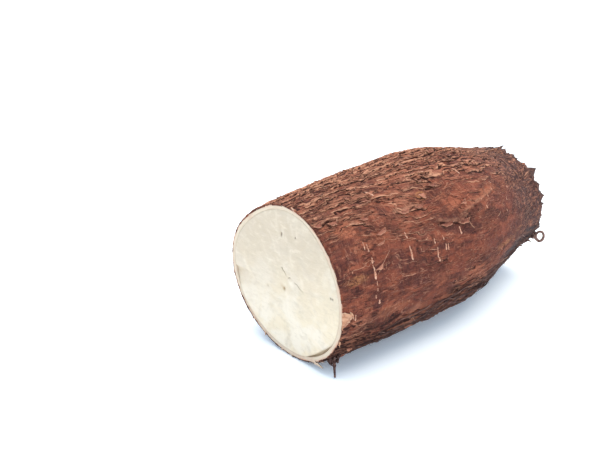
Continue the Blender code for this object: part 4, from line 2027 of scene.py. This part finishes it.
@dataclass
class SkinStrands(Dressing):
    """Dry threads that cling to the skin."""

    name: str = "skin_strands"
    seed: int = 941
    steps: int = 22
    scattered: int = 38
    chosen: tuple[Strand, ...] = (
        Strand(((0.17, 145.5), (0.21, 144.0), (0.245, 146.5), (0.285, 146.0), (0.32, 143.5)), 0.26, 0.7),
        Strand(((0.245, 149.0), (0.275, 149.5), (0.30, 152.0)), 0.22, 0.6),
        Strand(((0.09, 152.0), (0.105, 157.0), (0.12, 155.0), (0.127, 151.0)), 0.22, 0.6),
        Strand(((0.20, 151.0), (0.17, 156.0), (0.145, 161.0), (0.13, 165.0)), 0.13, 0.3),
        Strand(((0.15, 161.0), (0.165, 163.0), (0.17, 158.0)), 0.12, 0.3),
        Strand(((0.30, 98.0), (0.35, 101.0), (0.41, 99.0), (0.46, 101.0)), 0.26, 0.6),
        Strand(((0.41, 113.0), (0.43, 118.0), (0.425, 124.0)), 0.14, 0.3),
        Strand(((0.03, 200.0), (0.06, 199.0), (0.085, 197.0)), 0.22, 0.5),
    )

    def _scattered(self) -> list[Strand]:
        """Threads at random places, mostly along the root."""
        dice = np.random.default_rng(self.seed)
        roll = dice.uniform
        strands = []
        for _ in range(self.scattered):
            share = roll(0.02, 0.95)
            degrees = roll(0.0, 360.0)
            length = roll(0.02, 0.08)
            turn = dice.normal(0.0, 7.0)
            bow = dice.normal(0.0, 4.0)
            middle = (share + length / 2.0, degrees + turn / 2.0 + bow)
            places = ((share, degrees), middle, (share + length, degrees + turn))
            strands.append(Strand(places, roll(0.08, 0.17), roll(0.05, 0.5)))
        return strands

    def _add(self, draft: MeshDraft, strand: Strand, number: int) -> None:
        """Add one thread as a thin tube."""
        legs = np.linspace(0.0, 1.0, len(strand.places))
        steps = np.linspace(0.0, 1.0, self.steps)
        spline = [np.interp(steps, legs, column) for column in zip(*strand.places)]
        soft = [np.convolve(np.pad(row, 2, "edge"), np.ones(5) / 5.0, "valid") for row in spline]
        points, outs = self.sheet.spots(*soft)
        shiver = Noise(self.seed + 3).over(points, 2.0) * 0.12 * MM
        arch = np.sin(steps * math.pi) * strand.lift * MM + strand.thickness * 0.3 * MM
        radius = strand.thickness / 2.0 * MM * np.clip(1.25 - np.abs(steps * 2.0 - 1.0) ** 3, 0.3, 1.0)
        path = points + outs * (arch + shiver)[:, None]
        draft.tube(path, radius, 5, edge=0.7, tint=number * 0.61 % 1.0)


@dataclass
class Rootlets:
    """The dark hanging rootlet under the cut and the curled thread at the broken end's rim."""

    sheet: SkinSheet
    seed: int = 947
    steps: int = 40
    stubs: int = 9
    tangle: int = 26
    fibres: int = 110
    curl_radius: float = 2.6 * MM
    foot: Point = (-70.9 * MM, -24.7 * MM, 0.6 * MM)
    # how many short threads, and the shares and angles between which they grow
    feelers: tuple[tuple[int, Place, Place], ...] = (
        (18, (0.0, 0.25), (215.0, 240.0)), (40, (0.93, 1.0), (0.0, 360.0)),
        (30, (0.3, 0.95), (218.0, 242.0)), (44, (0.62, 1.0), (192.0, 222.0)),
    )
    # the hanging rootlet's share, angle, reach towards its foot, and radius in millimetres
    longest: tuple[float, float, float, float] = (0.03, 232.0, 1.0, 0.72)

    def _hanging(self, draft: MeshDraft) -> None:
        """Add the rootlet that droops from the lower edge to the floor, and the stubs around it."""
        steps = np.linspace(0.0, 1.0, self.steps)
        dice = np.random.default_rng(self.seed)
        roll = dice.uniform
        foot = np.array(self.foot)
        roots = [self.longest]
        for _ in range(self.stubs):
            roots.append((roll(0.0, 0.05), roll(224.0, 238.0), roll(0.15, 0.42), roll(0.3, 0.75)))
        for number, (share, degrees, reach, thick) in enumerate(roots):
            start, out = self.sheet.spots(share, degrees)
            places = joined(steps * 3.0, 0.0, 3.0 + number)
            sway = Noise(self.seed + 6).at(places) * 0.7 * MM
            across = (foot - start) * np.array([1.0, 1.0, 0.0]) * reach
            path = start + across * np.sqrt(steps)[:, None] + sway[:, None] * np.array([0.6, 0.6, 0.0])
            fall = np.clip(steps * 1.15 - 0.15, 0.0, 1.0) ** 0.8
            path[:, 2] = start[2] + (foot[2] - start[2]) * reach * fall
            path[0] -= out * 0.8 * MM
            knots = 1.0 + 0.35 * bump(steps - 0.35, 0.06) + 0.6 * bump(steps - 0.14, 0.10) - 0.35 * steps
            radii = thick * MM * knots
            draft.tube(path, radii, 8, edge=0.1, tint=0.2)

    def _curl(self, draft: MeshDraft) -> None:
        """Add the thread that loops back on itself beyond the broken rim, and the tangle at its root."""
        root, out = self.sheet.spots(0.995, 204.0)
        side = np.array([0.80, -0.60, 0.0])
        up = np.array([0.0, 0.0, 1.0])
        dice = np.random.default_rng(self.seed + 2)
        roll = dice.uniform
        places = np.linspace(0.0, 1.0, 14)
        for _ in range(self.tangle):
            away = side * roll(0.4, 4.2) + up * roll(-4.6, -0.2)
            arch = np.sin(places * math.pi)[:, None] * dice.normal(0.0, 0.8, 3)
            line = root - out * 1.4 * MM + (away * places[:, None] + arch) * MM
            thick = roll(0.4, 0.85) * MM
            draft.tube(line, thick * (1.15 - places), 6, edge=0.0, tint=roll(0.0, 0.25))
        steps = np.linspace(0.0, 1.0, self.steps)
        turn = steps * math.radians(390.0) - math.radians(160.0)
        radius = self.curl_radius * (1.0 - 0.18 * steps)
        centre = root + side * 4.0 * MM - up * 1.7 * MM
        path = centre + side * (np.cos(turn) * radius * 0.85)[:, None]
        path = path + up * (np.sin(turn) * radius * 1.05)[:, None]
        path = path + np.array([0.6, 0.8, 0.0]) * ((steps - 0.5) * 1.6 * MM)[:, None]
        blend = ease(steps, 0.0, 0.16)[:, None]
        stem = root - out * 0.6 * MM + (path[6] - root) * steps[:, None] * 2.0
        path = path * blend + stem * (1.0 - blend)
        draft.tube(path, 0.78 * MM * (1.0 - 0.25 * steps), 8, edge=0.3, tint=0.7)

    def _feelers(self, draft: MeshDraft) -> None:
        """Add short torn threads along the lower edge near the cut and the broken rim."""
        dice = np.random.default_rng(self.seed + 20)
        roll = dice.uniform
        spots = []
        for count, shares, turns in self.feelers:
            spots += [(roll(*shares), roll(*turns)) for _ in range(count)]
        for share, degrees in spots:
            start, out = self.sheet.spots(share, degrees)
            steps = np.linspace(0.0, 1.0, 10)
            length = roll(1.2, 4.0) * MM
            lean = np.array([roll(-0.4, 1.6), 0.0, roll(-0.9, 0.2)])
            way = out * roll(0.35, 0.9) + lean
            way /= np.linalg.norm(way)
            bend = np.cross(way, out) * dice.normal(0.0, 0.5)
            path = start - out * 0.3 * MM + way * (steps * length)[:, None]
            path = path + bend * (steps ** 2 * length)[:, None]
            radius = roll(0.07, 0.17) * MM * (1.15 - steps)
            draft.tube(path, radius, 5, edge=roll(0.0, 0.6), tint=roll(0.0, 1.0))

    def _lower_fibres(self, draft: MeshDraft) -> None:
        """Add the long stringy fibres along the lower edge towards the broken end."""
        dice = np.random.default_rng(self.seed + 24)
        roll = dice.uniform
        steps = np.linspace(0.0, 1.0, 18)
        for _ in range(self.fibres):
            share = roll(0.02, 0.86) ** 0.7
            length = roll(0.08, 0.22)
            degrees = roll(206.0, 246.0) - 6.0 * share
            turn = dice.normal(0.0, 5.0)
            points, outs = self.sheet.spots(share + length * steps, degrees + turn * steps)
            wander = Noise(self.seed + 26).over(points, 5.0) * 0.25 * MM
            lift = (0.15 + roll(0.0, 0.7) * np.sin(steps * math.pi)) * MM
            radius = roll(0.12, 0.30) * MM * np.clip(1.3 - np.abs(steps * 2.0 - 1.0) ** 2, 0.3, 1.0)
            path = points + outs * (lift + wander)[:, None]
            draft.tube(path, radius, 5, edge=roll(0.0, 0.6), tint=roll(0.0, 0.7))

    def build(self) -> Piece:
        """Build the rootlets as one piece.

        Returns:
            The rootlets.
        """
        draft = MeshDraft()
        self._hanging(draft)
        self._curl(draft)
        self._feelers(draft)
        self._lower_fibres(draft)
        return draft.build("rootlets")


@dataclass(frozen=True)
class Scrap:
    """One turned-up scrap: where its upper corner sits, and its size."""

    share: float
    degrees: float
    span: float               # degrees that it reaches down around the root
    width: float              # millimetres along the root at its widest
    lift: float               # millimetres that it bulges off the skin


@dataclass
class PeelFlap(Dressing):
    """The scraps of pale inner bark that are turned up at the cut's near edge."""

    name: str = "peel_flap"
    rows: int = 18
    columns: int = 12
    thickness: float = 0.4 * MM
    chosen: tuple[Scrap, ...] = (
        Scrap(-0.003, 181.0, 14.0, 4.8, 0.6), Scrap(0.024, 182.5, 4.0, 2.0, 0.8),
        Scrap(0.0, 206.0, 4.0, 1.2, 0.3),
    )

    def _add(self, draft: MeshDraft, shape: Scrap, number: int) -> None:
        """Add one scrap's sheet to the draft."""
        down = np.linspace(0.0, 1.0, self.rows)[:, None]
        away = np.linspace(0.0, 1.0, self.columns)[None, :]
        line = joined(down[:, 0] * 5.0 + shape.degrees, down[:, 0], down[:, 0])
        cross = joined(away[0] * 3.0 + shape.degrees, away[0], away[0] + 2.0)
        fray = Noise(977).layered(line, 3, 0.7)[:, None]
        side_fray = Noise(979).layered(cross, 3, 0.7)[None, :]
        narrow = np.clip(1.0 - down ** 1.7 + 0.30 * fray * (1.0 - down), 0.06, 1.1)
        shares = shape.share + self.sheet.per_length(shape.width) * narrow * away
        corner = 3.5 * away ** 1.5 + 3.0 * away ** 6
        turns = shape.span * down + (corner + 1.5 * side_fray) * (1.0 - down)
        points, outs = self.sheet.spots(np.maximum(shares, 0.0), shape.degrees + turns)
        points[..., 0] += np.minimum(shares, 0.0) * self.sheet.form.length
        fold = np.sin(away * math.pi * 1.3) * (1.0 - 0.6 * down) + 1.2 * away ** 3 * (1.0 - down)
        lift = (0.25 + shape.lift * fold + 0.4 * fray * away) * MM
        grid = points + outs * lift[..., None]
        edge = np.maximum(away[:, ::-1] ** 3, 1.0 - 8.0 * down)
        tint = np.clip(0.75 - 0.55 * away[:, ::-1] + 0.6 * fray - 0.3 * down, 0.0, 1.0)
        edge = np.clip(edge, 0.0, 1.0)
        draft.sheet(grid[:, ::-1], outs[:, ::-1], self.thickness, edge=edge, tint=tint)


@dataclass(frozen=True)
class Shred:
    """One pointed shred of the broken rim."""

    degrees: float
    length: float             # millimetres
    width: float              # millimetres at the rim
    flare: float              # how far it bends away from the root
    tint: float = 0.3


@dataclass
class RimShreds(Dressing):
    """Torn points of bark that stand out around the broken end."""

    name: str = "rim_shreds"
    seed: int = 983
    count: int = 34
    rows: int = 8
    thickness: float = 0.3 * MM
    held: float = 2.0         # millimetres of each shred that lie on the skin
    chosen: tuple[Shred, ...] = (
        Shred(96.0, 9.0, 6.5, -0.1), Shred(103.0, 3.6, 7.0, 0.1), Shred(138.0, 5.5, 6.5, 0.75),
        Shred(145.0, 2.0, 5.0, 0.2), Shred(153.0, 2.0, 6.5, 0.3), Shred(164.0, 4.2, 5.5, 0.5),
        Shred(171.0, 3.0, 2.2, 0.7), Shred(186.0, 1.8, 5.0, 0.1), Shred(197.0, 3.6, 4.6, 0.5),
        Shred(206.0, 5.0, 5.5, 0.7), Shred(214.0, 4.6, 4.0, 0.9), Shred(222.0, 3.4, 3.6, 0.7),
        Shred(40.0, 4.0, 4.0, 0.5), Shred(290.0, 4.5, 5.0, 0.2), Shred(335.0, 3.0, 3.4, 0.4),
    )

    def _scattered(self) -> list[Shred]:
        """Short shreds at random places around the rim."""
        roll = np.random.default_rng(self.seed).uniform
        return [
            Shred(degrees=roll(0.0, 360.0), length=roll(0.3, 1.0) ** 2 * 2.6, width=roll(1.2, 4.5),
                  flare=roll(-0.2, 0.5), tint=roll(0.0, 0.8))
            for _ in range(self.count)
        ]

    def _add(self, draft: MeshDraft, shred: Shred, number: int) -> None:
        """Add one shred's sheet to the draft."""
        length = shred.length
        out_steps = np.linspace(0.0, 1.0, self.rows)[:, None]
        across = np.linspace(-1.0, 1.0, 5)[None, :]
        held = self.held / (length + self.held)
        line = out_steps[:, 0]
        fray = Noise(self.seed + 1).at(joined(line * 4.0 + shred.degrees, line, line))
        narrow = np.clip(1.0 - ease(out_steps, held * 0.8, 1.0) ** 0.8, 0.04, 1.0) + 0.12 * fray[:, None]
        turns = shred.degrees + self.sheet.per_turn(shred.width / 2.0) * across * np.maximum(narrow, 0.04)
        held_share = 1.0 - self.sheet.per_length(self.held)
        base, outs = self.sheet.spots(np.full(turns.shape, held_share), turns)
        rim, _ = self.sheet.spots(np.ones(turns.shape), turns)
        way = rim - base
        way /= np.linalg.norm(way, axis=-1, keepdims=True)
        step = out_steps * (length + self.held) * MM
        bend = shred.flare * MM * out_steps ** 2 * length * 0.55 + 0.1 * MM
        grid = base + way * step[..., None] + outs * bend[..., None]
        grid[..., 2] = np.maximum(grid[..., 2], self.thickness + FLOOR_GAP)
        draft.sheet(grid, outs, self.thickness, edge=0.3 * out_steps, tint=shred.tint)


# ---- stage --------------------------------------------------------------------------------------

@dataclass(frozen=True)
class Studio:
    """Camera, soft lights and the pale floor."""

    aim: Point = (-0.0193, 0.0471, 0.030)
    distance: float = 0.5442
    azimuth: float = -43.85
    elevation: float = 25.11
    lens: float = 64.7
    sensor: float = 36.0
    floor_size: float = 8.0
    wall_height: float = 0.9
    wall_sides: int = 64
    sky_colour: Colour = (0.65, 0.83, 1.0)
    sky_strength: float = 1.36
    key_colour: Colour = (1.0, 0.90, 0.745)
    key_strength: float = 2.95
    key_spread: float = 70.0
    fill_from: Point = (-0.85, -0.45, 0.45)
    fill_strength: float = 0.2
    fill_spread: float = 70.0
    key_from: Point = (0.26, 0.04, 1.0)

    def camera(self) -> None:
        """Stand the camera where it looks down on the clean cut and the near side."""
        data = bpy.data.cameras.new("camera")
        data.lens = self.lens
        data.sensor_width = self.sensor
        data.clip_start = 0.01
        turn = math.radians(self.azimuth)
        rise = math.radians(self.elevation)
        back = Vector((math.sin(turn) * math.cos(rise), -math.cos(turn) * math.cos(rise), math.sin(rise)))
        camera = bpy.data.objects.new("camera", data)
        camera.location = Vector(self.aim) + back * self.distance
        camera.rotation_euler = back.to_track_quat("Z", "Y").to_euler()
        bpy.context.scene.collection.objects.link(camera)
        bpy.context.scene.camera = camera

    def _lamp(self, name: str, place: Point, strength: float, spread: float,
              colour: Colour) -> None:
        """Add one soft distant light.

        Args:
            name: Its name.
            place: The way that it shines from.
            strength: Its strength.
            spread: How wide it looks from the root, in degrees.
            colour: Its colour.
        """
        data = bpy.data.lights.new(name, "SUN")
        data.energy = strength
        data.angle = math.radians(spread)
        data.color = colour
        light = bpy.data.objects.new(name, data)
        light.rotation_euler = Vector(place).to_track_quat("Z", "Y").to_euler()
        bpy.context.scene.collection.objects.link(light)

    def lights(self) -> None:
        """Light the root from a bright, slightly blue sky and two very soft lights."""
        world = bpy.data.worlds.new("sky")
        world.use_nodes = True
        sky = world.node_tree.nodes["Background"]
        sky.inputs["Color"].default_value = (*self.sky_colour, 1.0)
        sky.inputs["Strength"].default_value = self.sky_strength
        bpy.context.scene.world = world
        self._lamp("key", self.key_from, self.key_strength, self.key_spread, self.key_colour)
        self._lamp("fill", self.fill_from, self.fill_strength, self.fill_spread, self.key_colour)

    def _stand(self, name: str, points: list[Point], faces: list[tuple[int, ...]],
               finish: FloorFinish) -> None:
        """Put a plain mesh on the stage."""
        mesh = bpy.data.meshes.new(name)
        mesh.from_pydata(points, [], faces)
        mesh.materials.append(finish.material())
        piece = bpy.data.objects.new(name, mesh)
        bpy.context.scene.collection.objects.link(piece)

    def floor(self) -> None:
        """Lay the floor under the root."""
        half = self.floor_size / 2.0
        corners = [(-half, -half, 0.0), (half, -half, 0.0), (half, half, 0.0), (-half, half, 0.0)]
        self._stand("floor", corners, [(0, 1, 2, 3)], FloorFinish())

    def backdrop(self) -> None:
        """Stand a low white wall at the floor's edge, so that floor and background meet without a line."""
        count = self.wall_sides
        turns = [FULL_TURN * number / count for number in range(count)]
        radius = self.floor_size / 2.0
        spots = [(radius * math.cos(turn), radius * math.sin(turn), up)
                 for up in (0.0, self.wall_height) for turn in turns]
        faces = [(at, (at + 1) % count, (at + 1) % count + count, at + count) for at in range(count)]
        finish = FloorFinish("backdrop", (0.02, 0.02, 0.02), (0.97, 0.99, 1.0), 1.04)
        self._stand("backdrop", spots, faces, finish)

    def build(self) -> None:
        """Set up everything around the root."""
        self.camera()
        self.lights()
        self.floor()
        self.backdrop()
        bpy.context.scene.view_settings.view_transform = "Standard"


def main() -> None:
    """Build every piece of the root and its studio."""
    logging.basicConfig(level=logging.INFO, format="%(name)s %(message)s", stream=sys.stdout)
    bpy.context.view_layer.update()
    Studio().build()
    form = RootForm()
    relief = BarkRelief(form)
    skin = Skin(relief)
    bark = BarkFinish(wide_count=relief.wide.count).material()
    skin_piece = skin.build()
    settle(skin_piece, Slot.SKIN, bark)
    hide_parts(NODE)

    flesh = Flesh(form)
    settle(flesh.build(), Slot.FLESH, FleshFinish().material())
    rind_finish = RindFinish().material()
    for ring in Rind(flesh).build():
        settle(ring, Slot.RIND, rind_finish)

    sheet = SkinSheet(form, skin.points)
    settle(BarkFlakes(sheet).build(), Slot.SKIN, FLAKE_FINISH.material())
    settle(Lenticels(sheet).build(), Slot.SKIN, CORK_FINISH.material())
    settle(SkinStrands(sheet).build(), Slot.SKIN, STRAW_FINISH.material())
    settle(Rootlets(sheet).build(), Slot.SKIN, ROOTLET_FINISH.material())
    settle(PeelFlap(sheet).build(), Slot.SKIN, PEEL_FINISH.material())
    settle(RimShreds(sheet).build(), Slot.SKIN, SHRED_FINISH.material())


if __name__ == "__main__":
    main()
